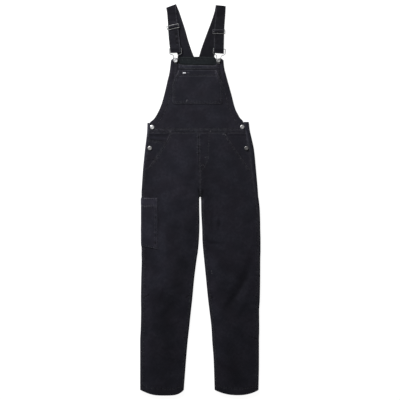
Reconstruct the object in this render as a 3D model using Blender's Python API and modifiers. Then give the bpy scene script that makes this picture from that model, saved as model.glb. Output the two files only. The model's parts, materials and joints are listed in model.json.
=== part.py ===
"""Bib overalls laid flat on their back, front side up, hem towards -Y and shoulders towards +Y.

Sizes inside this script are millimetres; every mesh is written out in metres. The garment lies on z = 0.
"r" is the wearer's right (-X) and "l" the wearer's left (+X). Each cloth piece that a maker cuts is one
object: a surface worked out from the tables below, given the cloth's thickness by a Solidify modifier.
"""

import math

import bmesh
import bpy
import numpy as np

MM = 0.001

# Cloth and seams
CLOTH = 1.5  # denim with its turned edges
PATCH = 1.2  # a pocket or band sewn on a panel
FACING = 0.9  # thin turned edge: the bib's top hem and the coin pocket
BAND = 1.7  # the bib pocket's hemmed mouth
STRAP = 1.8  # two layers of denim
SEAM_GAP = 0.3
LAYER_GAP = 0.35  # between a panel and what is sewn on it
FLOOR = 0.0  # the surface that the garment lies on

# Lengths up the garment, measured from the middle of its length
WAIST_SEAM_TOP = 281
WAIST_SEAM_BOTTOM = 267
SIDE_TOP = {"r": 306, "l": 310}  # top of each side opening
CROTCH = 11
HEM = -761
HEM_SAG = {"r": 22.2, "l": 20.8}  # the hem's middle hangs lower than its ends
HEM_LEAN = {"r": 1.24, "l": 1.06}  # above 1, the lowest point lies towards the wearer's left
HEM_ROUND = {"r": 3.4, "l": 2.3}  # above 2, the hem is flatter in its middle
BACK_BIB_TOP = 573

# How the tube of each leg folds at its edges
CURL = 6.0  # width of the rounded edge, seen from above
SEAM_INSET = {"r": 7.0, "l": 20.0}  # how far in from the edge the side seam lies at the hip
LEG_SEAM_INSET = {"r": 8.0, "l": 9.0}  # the same below the thigh
INSEAM_INSET = 7.0

# Grid that all laid pieces share, so that stacked pieces have the same facets
GRID_X = 15
GRID_Y = 30

INDIGO = (0.020, 0.020, 0.028)
NICKEL = (0.62, 0.61, 0.60)
DARK_METAL = (0.28, 0.27, 0.27)
WHITE_TAPE = (0.60, 0.60, 0.63)


def smooth(stations, values, at):
    """Monotone cubic through a table's points, held level past its ends."""
    step = np.diff(stations)
    slope = np.diff(values) / step
    same_way = slope[:-1] * slope[1:] > 0
    total = np.where(same_way, slope[:-1] + slope[1:], 1.0)
    inner = np.where(same_way, 2 * slope[:-1] * slope[1:] / total, 0.0)
    tangent = np.concatenate([[slope[0]], inner, [slope[-1]]])
    i = np.clip(np.searchsorted(stations, at) - 1, 0, len(step) - 1)
    t = np.clip((at - stations[i]) / step[i], 0, 1)
    return (
        (1 + 2 * t) * (1 - t) ** 2 * values[i]
        + t * (1 - t) ** 2 * step[i] * tangent[i]
        + t**2 * (3 - 2 * t) * values[i + 1]
        - t**2 * (1 - t) * step[i] * tangent[i + 1]
    )


class Table:
    """Rows under named columns. Each column is a smooth function of the first one."""

    def __init__(self, names, *rows):
        data = np.array(sorted(rows), float)
        self.stations = data[:, 0]
        self.columns = dict(zip(names[1:], data.T[1:]))

    def __call__(self, name, at):
        return smooth(self.stations, self.columns[name], at)


# The laid outline from the side waist to the hem: outer and inner edge of each leg. Above the crotch
# both inner edges are the centre seam.
LEGS = Table(
    ("y", "outer_r", "inner_r", "inner_l", "outer_l"),
    (311, -212, -8, -8, 194),
    (279, -213, -7, -7, 198),
    (239, -217, -6.5, -6.5, 207),
    (199, -222, -6, -6, 215),
    (119, -229.8, -3, -3, 223),
    (39, -235.2, -1, -1, 230),
    (CROTCH, -237.2, -1, -1, 232),
    (3, -238.6, -4.4, 2.6, 233.5),
    (-41, -238, -3.9, 3.2, 238),
    (-81, -237.6, -3.2, 5.1, 239.4),
    (-121, -238, -3.7, 7, 240),
    (-161, -238, -5.5, 8, 241),
    (-201, -237, -9, 11, 241),
    (-241, -235, -15, 15, 240),
    (-321, -237, -25, 23, 239.5),
    (-401, -238, -32.5, 31, 238),
    (-441, -237.5, -37, 36, 235.5),
    (-521, -239, -45.5, 45, 236),
    (-561, -241, -50, 47, 235),
    (-641, -241, -57, 53, 235),
    (-761, -241, -66, 57, 233),
)

# The bib's side edges, from the ears down to the wings at the side waist.
BIB = Table(
    ("y", "left", "right"),
    (567, -110.6, 88),
    (559, -117.2, 92.4),
    (539, -119.8, 94.4),
    (523, -121.8, 96.8),
    (499, -125.8, 103),
    (479, -131, 108.4),
    (459, -135.4, 114),
    (419, -145, 125),
    (379, -156.5, 135),
    (359, -165, 141.5),
    (343, -173, 150),
    (327, -183, 159),
    (319, -190, 167.2),
    (312, -199.5, 172.2),
)

# Height of the front's outer face above the floor, between the folded edges.
HEIGHT = Table(
    ("y", "top"),
    (-783, 9),
    (-741, 11),
    (-560, 12),
    (-400, 13),
    (-60, 13.5),
    (120, 13),
    (230, 11.5),
    (281, 10),
    (315, 8.6),
    (360, 7.4),
    (420, 6.4),
    (500, 5.6),
    (570, 5),
)

# Folds of the front, each a soft ridge (+) or trough (-) from one end to the other.
FOLD_COLUMNS = ("x0", "y0", "x1", "y1", "width", "rise")
FOLDS = (
    (-141, -100, -150, -350, 20, 1.6),
    (-150, -350, -200, -450, 18, 1.3),
    (-95, -118, -45, -136, 13, -1.4),
    (-60, -40, -150, -75, 16, -1.1),
    (-100, -420, -160, -480, 16, -1.2),
    (-90, -560, -180, -610, 18, 1.0),
    (-80, -660, -150, -640, 14, -0.9),
    (215, -235, 105, -440, 19, -2.4),
    (225, -300, 150, -460, 17, 1.7),
    (45, -35, 92, -118, 14, -1.6),
    (32, -172, 80, -182, 13, -1.4),
    (95, -275, 145, -315, 13, -1.3),
    (12, 145, 48, -5, 14, -1.6),
    (-12, 120, -62, -10, 15, -1.2),
    (120, -520, 200, -590, 18, -1.3),
    (80, -640, 160, -680, 16, 1.0),
    (-150, 330, -60, 300, 16, -0.8),
    (40, 305, 140, 335, 16, 0.8),
)


def fold_height(x, y):
    """Sum of the folds at a point: each is a rounded bump across its line that fades at both ends."""
    height = np.zeros(np.broadcast(x, y).shape)
    for row in FOLDS:
        fold = dict(zip(FOLD_COLUMNS, row))
        along = np.array([fold["x1"] - fold["x0"], fold["y1"] - fold["y0"]], float)
        length = np.hypot(*along)
        along /= length
        reach = (x - fold["x0"]) * along[0] + (y - fold["y0"]) * along[1]
        across = (y - fold["y0"]) * along[0] - (x - fold["x0"]) * along[1]
        past_end = np.maximum(0, np.maximum(-reach, reach - length))
        height = height + fold["rise"] * np.exp(-((across / fold["width"]) ** 2) - (past_end / fold["width"]) ** 2)
    return height


def front_height(x, y):
    """Outer face of the whole front, bib and legs, at a laid point."""
    return HEIGHT("top", y) + fold_height(x, y)


TOOL_POCKET = {"top": 7, "band": -26, "bottom": -184, "corner": -199, "front": 66, "rear": 96}


def under_tool_pocket(y):
    """How far the right leg's skin gives way to the pocket folded round it, at a height."""
    above = np.clip((TOOL_POCKET["top"] + 26 - y) / 24, 0, 1)
    below = np.clip((y - TOOL_POCKET["corner"] + 26) / 24, 0, 1)
    share = above * above * (3 - 2 * above) * below * below * (3 - 2 * below)
    return (PATCH + LAYER_GAP) * share


def outer_edge(side, y):
    """The leg's own outer edge, inside the tool pocket on the right."""
    return LEGS("outer_" + side, y) + (under_tool_pocket(y) if side == "r" else 0)


def hem_drop(side, x, y):
    """How far the laid point is drawn down, so that the leg ends in a hem that hangs in its middle."""
    low, high = (outer_edge("r", y), LEGS("inner_r", y)) if side == "r" else (LEGS("inner_l", y), outer_edge("l", y))
    across = np.clip((x - low) / (high - low), 0, 1) ** HEM_LEAN[side]
    near_hem = np.clip((HEM + 80 - y) / 80, 0, 1)
    near_hem = near_hem * near_hem * (3 - 2 * near_hem)
    return HEM_SAG[side] * (1 - np.abs(2 * across - 1) ** HEM_ROUND[side]) * near_hem


def seam_inset(side, y):
    """Distance from the leg's edge in to its side seam, which is further in at the hip than below."""
    blend = np.clip((y + 60) / 180, 0, 1)
    return LEG_SEAM_INSET[side] + (SEAM_INSET[side] - LEG_SEAM_INSET[side]) * blend


# Heights at which the leg panels have their sections, from the hem to the waist seam.
LEG_ROWS = np.array(
    [HEM, HEM + 24, *np.linspace(HEM + 50, CROTCH - 60, 23), *np.linspace(CROTCH - 40, CROTCH, 3)]
    + [*np.linspace(CROTCH + 30, 101, 3), 116, *np.linspace(131, WAIST_SEAM_TOP, 6)]
)


def raised(side, y):
    """A section's height at the side, where the back stands above its own waist seam."""
    return y + (SIDE_TOP[side] - WAIST_SEAM_TOP) * np.maximum(0, (y - 190) / (WAIST_SEAM_TOP - 190))


SIDE_ROWS = {side: raised(side, LEG_ROWS) for side in ("r", "l")}


def side_seam(side, y):
    """Where the side seam lies on the front: straight between the sections, as the panels' edges are."""
    inward = 1 if side == "r" else -1
    at_rows = outer_edge(side, SIDE_ROWS[side]) + inward * seam_inset(side, SIDE_ROWS[side])
    return np.interp(y, SIDE_ROWS[side], at_rows)


def side_edge(side, low, high, clearance=SEAM_GAP / 2):
    """Points along the side seam from low to high, a clearance inside it."""
    inward = 1 if side == "r" else -1
    ys = [low, *[y for y in SIDE_ROWS[side] if low + 0.5 < y < high - 0.5], high]
    return [(float(side_seam(side, y)) + inward * clearance, float(y)) for y in ys]


def split_below_crotch(y):
    """0 where the legs are one tube, 1 where each leg's inner edge has folded down."""
    t = np.clip((CROTCH - y) / 50, 0, 1)
    return t * t * (3 - 2 * t)


def inner_edge(side, low, high):
    """Points along the front panel's inner edge from low to high: the inseam, then the centre seam."""
    outward = -1 if side == "r" else 1
    ys = [float(y) for y in LEG_ROWS if low <= y < high] + [high]
    insets = [SEAM_GAP / 2 + INSEAM_INSET * float(split_below_crotch(y)) for y in ys]
    return [(float(LEGS("inner_" + side, y)) + outward * inset, y) for y, inset in zip(ys, insets)]


# ---------------------------------------------------------------------------------------- building


def material(name, color, roughness, metallic=0.0):
    made = bpy.data.materials.get(name) or bpy.data.materials.new(name)
    made.use_nodes = True
    shader = made.node_tree.nodes["Principled BSDF"]
    shader.inputs["Base Color"].default_value = (*color, 1)
    shader.inputs["Roughness"].default_value = roughness
    shader.inputs["Metallic"].default_value = metallic
    return made


def denim():
    return material("denim", INDIGO, 0.9)


def add_object(name, mesh, finish):
    made = bpy.data.objects.new(name, mesh)
    made.data.materials.append(finish)
    GARMENT.objects.link(made)
    return made


def thicken(made, wall, outward=False):
    """Gives an open surface its cloth thickness: inward from the face shown, or outward on a patch."""
    solidify = made.modifiers.new("cloth", "SOLIDIFY")
    solidify.thickness = wall * MM
    solidify.offset = 1 if outward else -1
    solidify.use_even_offset = True
    solidify.use_quality_normals = True
    return made


def grid_lines(low, high, step):
    return np.arange(math.floor(low / step) + 1, math.ceil(high / step)) * step


def laid_piece(name, outline, surface, wall, outward=False, finish=None, grid=(GRID_X, GRID_Y), extra_y=()):
    """A piece cut to a flat outline and laid on a surface: surface(x, y) gives x, y and z in mm."""
    outline = np.asarray(outline, float)
    bm = bmesh.new()
    bm.faces.new([bm.verts.new((x, y, 0)) for x, y in outline])
    cuts = [(0, x) for x in grid_lines(*outline[:, 0][[outline[:, 0].argmin(), outline[:, 0].argmax()]], grid[0])]
    cuts += [(1, y) for y in grid_lines(*outline[:, 1][[outline[:, 1].argmin(), outline[:, 1].argmax()]], grid[1])]
    cuts += [(1, y) for y in extra_y]
    for axis, at in cuts:
        point, normal = [0.0] * 3, [0.0] * 3
        point[axis], normal[axis] = at, 1.0
        geometry = bm.verts[:] + bm.edges[:] + bm.faces[:]
        bmesh.ops.bisect_plane(bm, geom=geometry, dist=0.4, plane_co=point, plane_no=normal)
    bmesh.ops.dissolve_degenerate(bm, dist=0.2, edges=bm.edges[:])
    for vertex in bm.verts:
        vertex.co = [MM * float(value) for value in surface(vertex.co.x, vertex.co.y)]
    bmesh.ops.recalc_face_normals(bm, faces=bm.faces[:])
    if sum(face.normal.z for face in bm.faces) < 0:
        bmesh.ops.reverse_faces(bm, faces=bm.faces[:])
    mesh = bpy.data.meshes.new(name)
    bm.to_mesh(mesh)
    bm.free()
    return thicken(add_object(name, mesh, finish or denim()), wall, outward)


def loft(name, rows, wall, outward=False, finish=None):
    """A piece through rows of points, one row for each section."""
    rows = np.asarray(rows, float) * MM
    count, width = rows.shape[:2]
    bm = bmesh.new()
    verts = [[bm.verts.new(point) for point in row] for row in rows]
    for i in range(count - 1):
        for j in range(width - 1):
            bm.faces.new((verts[i][j], verts[i][j + 1], verts[i + 1][j + 1], verts[i + 1][j]))
    mesh = bpy.data.meshes.new(name)
    bm.to_mesh(mesh)
    bm.free()
    return thicken(add_object(name, mesh, finish or denim()), wall, outward)


def arc(center, radius, start, end, steps):
    """Points of an arc, angles in degrees."""
    angles = np.radians(np.linspace(start, end, steps + 1))
    return [(center[0] + radius * math.cos(a), center[1] + radius * math.sin(a)) for a in angles]


def lower(surface, drop):
    """The same surface, moved down by drop, or up if drop is negative."""

    def moved(x, y):
        sx, sy, sz = surface(x, y)
        return sx, sy, sz - drop

    return moved


def front_surface(x, y):
    return x, y, front_height(x, y)


# ---------------------------------------------------------------------------------------- the front

POCKET_MOUTH = {  # top end at the waist, bend, and lower end at the side seam
    "r": ((-124, WAIST_SEAM_BOTTOM), (-128, 236), (-212, 124)),
    "l": ((100, WAIST_SEAM_BOTTOM), (115, 238), (205, 112)),
}


def mouth_line(side, shift):
    """The slanted pocket mouth as a soft bend, moved towards the centre by shift."""
    top, bend, bottom = (np.array(point, float) for point in POCKET_MOUTH[side])
    inward = 1 if side == "r" else -1
    points = []
    for t in np.linspace(0, 1, 9):
        point = (1 - t) ** 2 * top + 2 * t * (1 - t) * bend + t * t * bottom
        points.append((point[0] + inward * shift, point[1]))
    return points


def leg_surface(side):
    """Front of one leg, with the hem's turned edge a little thicker and its hanging curve."""

    def point(x, y):
        hem_ridge = 0.7 * np.clip((HEM + 24 - y) / 3, 0, 1)
        return x, y - hem_drop(side, x, y), front_height(x, y) + hem_ridge

    return point


def leg_front(side):
    """One front panel from waist to hem, with the corner at the hip cut away for the pocket."""
    low, high = HEM, WAIST_SEAM_BOTTOM - SEAM_GAP
    mouth = mouth_line(side, SEAM_GAP)
    mouth[0] = (mouth[0][0], high)
    outline = mouth[:-1] + side_edge(side, low, mouth[-1][1])[::-1] + inner_edge(side, low, high)
    return laid_piece("leg_front_" + side, outline, leg_surface(side), CLOTH, extra_y=(HEM + 24, HEM + 21))


def pocket_facing(side):
    """Cloth seen in the hip pocket's mouth, joined to the side seam and reaching under the front."""
    high = WAIST_SEAM_BOTTOM - SEAM_GAP
    under = mouth_line(side, 12)
    under[0] = (under[0][0], high)
    bottom = under[-1][1] - 14
    outline = under[:-1] + [(under[-1][0], bottom)] + side_edge(side, bottom, high)
    return laid_piece("pocket_facing_" + side, outline, lower(front_surface, CLOTH + SEAM_GAP), CLOTH)


def coin_pocket():
    """Small pocket on the right facing: its mouth is a shallow curve, its inner edge the front's edge."""
    side = side_edge("r", 158, 243, clearance=2)
    mouth = [(-185, 238), (-160, 234)]
    edge = [point for point in mouth_line("r", -0.8) if 158 < point[1] < 232]
    outline = side + mouth + edge
    surface = lower(front_surface, CLOTH + SEAM_GAP - LAYER_GAP)
    return laid_piece("coin_pocket_r", outline, surface, FACING, outward=True)


BIB_POCKET = {"top": 519, "band": 496, "wide": 463, "bottom": 383, "left": -111, "right": 89}
BIB_POCKET_SLANT = {"left": 22, "right": 24}  # how far each side leans in between "wide" and "top"
LABEL = (-70.6, -58.2, 505.4, 511.4)  # left, right, low, high


def bib_top_edge():
    """Top of the bib from its left ear to its right one: ears up, a shallow scoop between them."""
    left_ear = [(-110, 564), (-106, 567.5), (-100, 568.5), (-93, 567.5), (-89.5, 562), (-88, 552), (-85, 545.5), (-78, 543)]
    scoop = [(x, 541.5 + 1.2 * math.cos(math.pi * (x + 10) / 140)) for x in (-60, -35, -10, 15, 40)]
    right_ear = [(56, 540.5), (63, 542.5), (66, 548), (67.5, 558), (71, 564.5), (77, 566.5), (83, 566), (87, 563)]
    return left_ear + scoop + right_ear


def bib_front():
    down = [*np.linspace(552, 330, 12), 319, 312]
    left = side_edge("r", WAIST_SEAM_TOP, 305) + [(float(BIB("left", y)), y) for y in down[::-1]]
    right = [(float(BIB("right", y)), y) for y in down] + side_edge("l", WAIST_SEAM_TOP, 305)[::-1]
    outline = left + bib_top_edge() + right
    return laid_piece("bib_front", outline, front_surface, CLOTH, extra_y=(325, 345))


def waistband_front():
    high, low = WAIST_SEAM_TOP - SEAM_GAP, WAIST_SEAM_BOTTOM
    outline = side_edge("l", low, high)[::-1] + side_edge("r", low, high)
    return laid_piece("waistband_front", outline, lower(front_surface, -0.6), CLOTH + 0.6)


def bib_top_band():
    low = 523.5
    scoop = [(x, y - 0.5) for x, y in bib_top_edge() if -88.5 < x < 64 and y < 549]
    outline = scoop + [(65, low), (20, low - 1), (-30, low - 1), (-86, low)]
    return laid_piece("bib_top_band", outline, lower(front_surface, -LAYER_GAP), FACING, outward=True)


def bib_pocket_ends(y):
    """Left and right end of the pocket at a height on its slanted upper part."""
    size = BIB_POCKET
    share = (y - size["wide"]) / (size["top"] - size["wide"])
    return size["left"] + BIB_POCKET_SLANT["left"] * share, size["right"] - BIB_POCKET_SLANT["right"] * share


def bib_pocket():
    """The pocket's body, below its hemmed mouth."""
    size = BIB_POCKET
    corner = 8
    left, right = size["left"], size["right"]
    slanted_left, slanted_right = bib_pocket_ends(size["band"])
    top = size["band"] - SEAM_GAP
    outline = [
        (slanted_left, top),
        (slanted_right, top),
        (right, size["wide"]),
        *arc((right - corner, size["bottom"] + corner), corner, 0, -90, 3),
        *arc((left + corner, size["bottom"] + corner), corner, -90, -180, 3),
        (left, size["wide"]),
    ]
    return laid_piece("bib_pocket", outline, lower(front_surface, -LAYER_GAP), PATCH, outward=True)


def bib_pocket_band():
    top, low = BIB_POCKET["top"], BIB_POCKET["band"]
    (upper_left, upper_right), (lower_left, lower_right) = bib_pocket_ends(top), bib_pocket_ends(low)
    outline = [(upper_left, top), (upper_right, top), (lower_right, low), (lower_left, low)]
    return laid_piece("bib_pocket_band", outline, lower(front_surface, -LAYER_GAP), BAND, outward=True)


def pocket_label():
    """Plain woven tab on the pocket's band, with nothing on it."""
    left, right, low, high = LABEL
    outline = [(left, low), (right, low), (right, high), (left, high)]
    surface = lower(front_surface, -(LAYER_GAP + BAND + LAYER_GAP))
    return laid_piece("pocket_label", outline, surface, 0.7, outward=True, finish=material("tape", WHITE_TAPE, 0.8))


# ---------------------------------------------------------------------------------------- the back

def leg_skin(side, y, edge, reach):
    """Outer face of the leg's tube round one edge ("outer" or "inner").

    reach runs from the top (+) over the folded edge (0) to the underside (-), in mm from the edge.
    Returns the point, and the direction that faces out.
    """
    inward = 1 if (side == "r") == (edge == "outer") else -1
    at = float(outer_edge(side, y) if edge == "outer" else LEGS("inner_" + side, y))
    base = FLOOR
    if side == "r" and edge == "outer":
        base += float(under_tool_pocket(y) * np.clip((TOOL_POCKET["rear"] + 30 + reach) / 28, 0, 1))
    top = float(front_height(at + inward * max(CURL, reach), y))
    if reach >= CURL:
        return (at + inward * reach, y, top), (0, 0, 1)
    if reach <= -CURL:
        return (at - inward * reach, y, base), (0, 0, -1)
    angle = math.pi / 2 * reach / CURL
    middle, half = (top + base) / 2, (top - base) / 2
    out = np.array([-inward * math.cos(angle) / CURL, math.sin(angle) / half])
    out /= np.hypot(*out)
    point = (at + inward * CURL * (1 - math.cos(angle)), y, middle + half * math.sin(angle))
    return point, (out[0], 0, out[1])


EDGE_REACH = (6.0, 4.0, 2.0, 0.0, -2.0, -4.0, -6.0)


def leg_back(side):
    """One back panel: from the side seam over the edge, along the floor and round to the inseam."""
    inward = 1 if side == "r" else -1
    rows = []
    for y in LEG_ROWS:
        y, at_side = float(y), float(raised(side, y))
        row = []
        seam = float(seam_inset(side, at_side)) - SEAM_GAP / 2
        for reach in (seam, *EDGE_REACH):
            row.append(leg_skin(side, at_side, "outer", reach)[0])
        row.append(leg_skin(side, (y + at_side) / 2, "outer", -34.0)[0])
        for reach in (-98.0, -130.0):
            row.append(leg_skin(side, y, "outer", reach)[0])
        split = float(split_below_crotch(y))
        center = float(LEGS("inner_" + side, y)) - inward * SEAM_GAP / 2
        turn = (*reversed(EDGE_REACH), INSEAM_INSET - 0.15)
        for k, reach in enumerate(turn):
            folded, _ = leg_skin(side, y, "inner", reach)
            flat = (center - inward * 2.2 * (len(turn) - 1 - k), y, FLOOR)
            row.append(tuple(f * split + g * (1 - split) for f, g in zip(folded, flat)))
        row = [(x, py - float(hem_drop(side, x, py)), z) for x, py, z in row]
        rows.append(row)
    rows = np.array(rows)
    if side == "r":
        rows = rows[:, ::-1]
    return loft("leg_back_" + side, rows, CLOTH)


def tool_pocket_point(y, reach, lift):
    point, out = leg_skin("r", y, "outer", reach)
    return tuple(p + lift * n for p, n in zip(point, out))


def tool_pocket_piece(name, top, bottom_at, wall, steps):
    reaches = [-TOOL_POCKET["rear"], -60.0, -30.0, *reversed(EDGE_REACH), 20.0, 36.0, 52.0, float(TOOL_POCKET["front"])]
    rows = []
    for step in range(steps + 1):
        row = []
        for reach in reaches:
            y = top + (bottom_at(reach) - top) * step / steps
            row.append(tool_pocket_point(y, reach, LAYER_GAP))
        rows.append(row)
    return loft(name, rows[::-1], wall, outward=True)


def tool_pockets():
    """Patch pocket on the right thigh, folded round the leg's outer edge, with a hemmed top."""
    size = TOOL_POCKET

    def bottom(reach):
        return size["bottom"] + (size["corner"] - size["bottom"]) * np.clip(reach / size["front"], 0, 1)

    tool_pocket_piece("tool_pocket_r", size["band"] - SEAM_GAP, bottom, PATCH, 6)
    tool_pocket_piece("tool_pocket_band_r", size["top"], lambda reach: size["band"], PATCH, 2)


def bib_back():
    """The back above the waist: wide at the waist, narrowing to the two straps at its top."""
    edge = Table(
        ("y", "left", "right"),
        (BACK_BIB_TOP, -90, 57),
        (567, -91, 59.5),
        (562, -92, 71),
        (519, -104, 78),
        (439, -127, 100),
        (360, -160, 140),
        (312, -186, 166),
    )
    ys = [*np.linspace(312, 548, 9), 562, 567, BACK_BIB_TOP]
    bottom = [(-190, 304), (-178, 297), (-118, 282.6), (0, 282.3), (101, 282.6), (160, 297), (173, 304)]
    right = [(float(edge("right", y)), y) for y in ys]
    left = [(float(edge("left", y)), y) for y in ys[::-1]]
    outline = bottom + right + left
    return laid_piece("bib_back", outline, lambda x, y: (x, y, FLOOR + CLOTH), CLOTH, grid=(60, 80))


# ---------------------------------------------------------------------------------------- straps

# Each strap is one ribbon: up the back, over the shoulder fold, down the front, through the slider,
# round the clasp's bar and back up behind itself to the slider's middle bar.
STRAP_COLUMNS = ("y", "inner", "outer")
STRAP_BACK = {
    "r": Table(
        STRAP_COLUMNS,
        (573.5, -25.7, -89.4),
        (599, -36, -96),
        (639, -49, -105),
        (679, -60, -112),
        (719, -73, -118),
        (755, -85, -127),
    ),
    "l": Table(
        STRAP_COLUMNS,
        (573.5, -5.5, 55.5),
        (599, 2, 62),
        (639, 16, 71),
        (679, 31, 80),
        (719, 46, 89),
        (757, 58, 98),
    ),
}
STRAP_FRONT = {
    "r": Table(
        STRAP_COLUMNS,
        (745, -95, -133.4),
        (719, -93, -130.6),
        (659, -84, -127.4),
        (621, -80.5, -124),
        (604, -79, -121.4),
        (585, -78.5, -120.8),
    ),
    "l": Table(
        STRAP_COLUMNS,
        (745, 61, 100.5),
        (719, 58, 98),
        (659, 54, 95.3),
        (621, 54, 94.2),
        (585, 55, 94),
    ),
}
SHOULDER_FOLD = {"r": ((-96.5, 784.4), (-136.5, 769.6)), "l": ((61, 780.2), (101.5, 776.3))}  # inner end, outer end
SHOULDER_RADIUS = 3.2

SLIDER = {"width": 51, "height": 17.6, "bar": 2.8, "side": 2.2, "middle": 2.2, "thickness": 1.4, "z": 7.4}
SLIDER_PLACE = {"r": {"x": -109.5, "y": 691.5, "tilt": 13}, "l": {"x": 74, "y": 672.3, "tilt": 0}}

WIRE = 1.25  # radius of the clasp's wire
CLASP = {"r": {"x": -99.3, "y": 606, "tilt": 1.2}, "l": {"x": 76.8, "y": 604, "tilt": -5}}  # middle of its bar
CLASP_BAR = {"z": 5.6, "half": 24}
CLASP_FOOT = {"y": -55.3, "radius": 5.2}  # the loop's round foot, from the bar
BIB_BUTTON = {"r": (-99, 557), "l": (72.2, 557)}

FACE_GAP = 0.4  # between the strap and the slider's bars
LOOP_SLACK = 19.5  # how far the strap's loop hangs past the clasp's bar
LOOP_RADIUS = 1.3  # of the fold at the loop's end


def strap_sections(side):
    """(y at inner edge, y at outer edge, x inner, x outer, z) of the ribbon's middle, along its length."""
    back, front, fold = STRAP_BACK[side], STRAP_FRONT[side], SHOULDER_FOLD[side]
    slide, hook = SLIDER_PLACE[side], CLASP[side]
    half = STRAP / 2
    lying = FLOOR + half
    resting = lying + STRAP + SEAM_GAP  # on top of the back's ribbon
    under = SLIDER["z"] - SLIDER["thickness"] / 2 - FACE_GAP - half
    over = SLIDER["z"] + SLIDER["thickness"] / 2 + FACE_GAP + half
    round_bar = WIRE + SEAM_GAP + half
    crest, behind = CLASP_BAR["z"] + round_bar, CLASP_BAR["z"] - round_bar

    def across(place, offset, z):
        """A section at an offset up from a metal piece, tilted as that piece is."""
        y = place["y"] + offset
        inner, outer = float(front("inner", y)), float(front("outer", y))
        slope = math.tan(math.radians(place["tilt"]))
        return y + (inner - place["x"]) * slope, y + (outer - place["x"]) * slope, inner, outer, z

    sections = []
    for y in (BACK_BIB_TOP + 0.5, 599, 625, 652, 679, 706, 732, 755):
        sections.append((y, y, float(back("inner", y)), float(back("outer", y)), lying))
    for angle in range(-90, 91, 30):
        turn = math.radians(angle)
        back_by = SHOULDER_RADIUS * (1 - math.cos(turn)) + half
        z = lying + SHOULDER_RADIUS * (1 + math.sin(turn))
        (inner_x, inner_y), (outer_x, outer_y) = fold
        sections.append((inner_y - back_by, outer_y - back_by, inner_x, outer_x, z))
    for y, z in ((750, resting + 1.6), (736, resting + 0.2)):
        sections.append((y, y, float(front("inner", y)), float(front("outer", y)), z))
    weave = ((24, resting), (7.6, under), (5.4, under + 0.05), (1.7, over - 0.05), (0, over))
    sections += [across(slide, offset, z) for offset, z in weave]
    sections += [across(slide, -offset, z) for offset, z in weave[-2:0:-1]]
    over_bar = ((16, under), (7, (under + crest) / 2), (1.5, crest), (-2.5, crest - 0.1), (-10, 6.3))
    sections += [across(hook, offset, z) for offset, z in over_bar]
    for angle in range(90, -91, -30):
        turn = math.radians(angle)
        offset = half + LOOP_RADIUS * (1 - math.cos(turn)) - LOOP_SLACK
        sections.append(across(hook, offset, behind + LOOP_RADIUS * (1 + math.sin(turn))))
    sections += [across(hook, offset, behind) for offset in (-8, 10, 38)]
    sections += [across(slide, -20, behind), across(slide, -5, behind), across(slide, -0.5, under - 0.4)]
    return sections


def strap(side):
    rows = []
    for inner_y, outer_y, inner_x, outer_x, z in strap_sections(side):
        middle = ((inner_x + outer_x) / 2, (inner_y + outer_y) / 2, z)
        row = [(inner_x, inner_y, z), middle, (outer_x, outer_y, z)]
        rows.append(row if side == "r" else row[::-1])
    made = loft("strap_" + side, rows, STRAP)
    made.modifiers["cloth"].offset = 0


def box_outline(width, height, radius, center=(0, 0)):
    """Corners of a rounded rectangle, each an arc."""
    points = []
    for x_side, y_side, start in ((1, 1, 0), (-1, 1, 90), (-1, -1, 180), (1, -1, 270)):
        corner = (center[0] + x_side * (width / 2 - radius), center[1] + y_side * (height / 2 - radius))
        points += arc(corner, radius, start, start + 90, 3)
    return points


def slider(side):
    """Three-bar slider: a flat frame with two slots."""
    size, place = SLIDER, SLIDER_PLACE[side]
    slot_height = (size["height"] - 2 * size["bar"] - size["middle"]) / 2
    slot_y = (size["middle"] + slot_height) / 2
    slot = size["width"] - 2 * size["side"]
    loops = [box_outline(size["width"], size["height"], 3.0)]
    loops += [box_outline(slot, slot_height, 1.0, (0, y)) for y in (slot_y, -slot_y)]
    curve = bpy.data.curves.new("slider_" + side, "CURVE")
    curve.dimensions = "2D"
    curve.fill_mode = "BOTH"
    curve.extrude = size["thickness"] / 2 * MM
    for loop in loops:
        spline = curve.splines.new("POLY")
        spline.points.add(len(loop) - 1)
        for point, (x, y) in zip(spline.points, loop):
            point.co = (x * MM, y * MM, 0, 1)
        spline.use_cyclic_u = True
    made = add_object("slider_" + side, curve, material("nickel", NICKEL, 0.3, 1.0))
    made.location = (place["x"] * MM, place["y"] * MM, size["z"] * MM)
    made.rotation_euler.z = math.radians(place["tilt"])


def clasp_half():
    """Half of the clasp's wire from the bar's middle to the foot of its loop, as seen from above."""
    bar, bend = CLASP_BAR["half"], 1.6
    corner = arc((bar - bend, -bend), bend, 90, 0, 2)
    sweep = [(bar, -19), (22.5, -22.2), (20, -23.9), (15.5, -24.8), (11.6, -26.3), (9.2, -29.5)]
    sides = [(8.4, -33), (8.2, -39), (7.2, -46), (5.8, -51.5)]
    foot = arc((0, CLASP_FOOT["y"]), CLASP_FOOT["radius"], 0, -90, 4)
    return [(0, 0), (bar / 2, 0), *corner, *sweep, *sides, *foot]


def clasp(side):
    """Wire clasp that hangs in the strap's loop and goes round the bib's button."""
    place = CLASP[side]
    turn = math.radians(place["tilt"])
    half = clasp_half()
    loop = half + [(-x, y) for x, y in half[-2:0:-1]]
    curve = bpy.data.curves.new("buckle_" + side, "CURVE")
    curve.dimensions = "3D"
    curve.bevel_depth = WIRE * MM
    curve.bevel_resolution = 1
    spline = curve.splines.new("POLY")
    spline.points.add(len(loop) - 1)
    for point, (x, y) in zip(spline.points, loop):
        wx = place["x"] + x * math.cos(turn) - y * math.sin(turn)
        wy = place["y"] + x * math.sin(turn) + y * math.cos(turn)
        on_bib = float(front_height(wx, wy)) + LAYER_GAP + WIRE
        share = min(max((-y - 6) / 16, 0), 1)
        z = CLASP_BAR["z"] + (on_bib - CLASP_BAR["z"]) * share
        point.co = (wx * MM, wy * MM, z * MM, 1)
    spline.use_cyclic_u = True
    add_object("buckle_" + side, curve, material("nickel", NICKEL, 0.3, 1.0))


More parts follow.
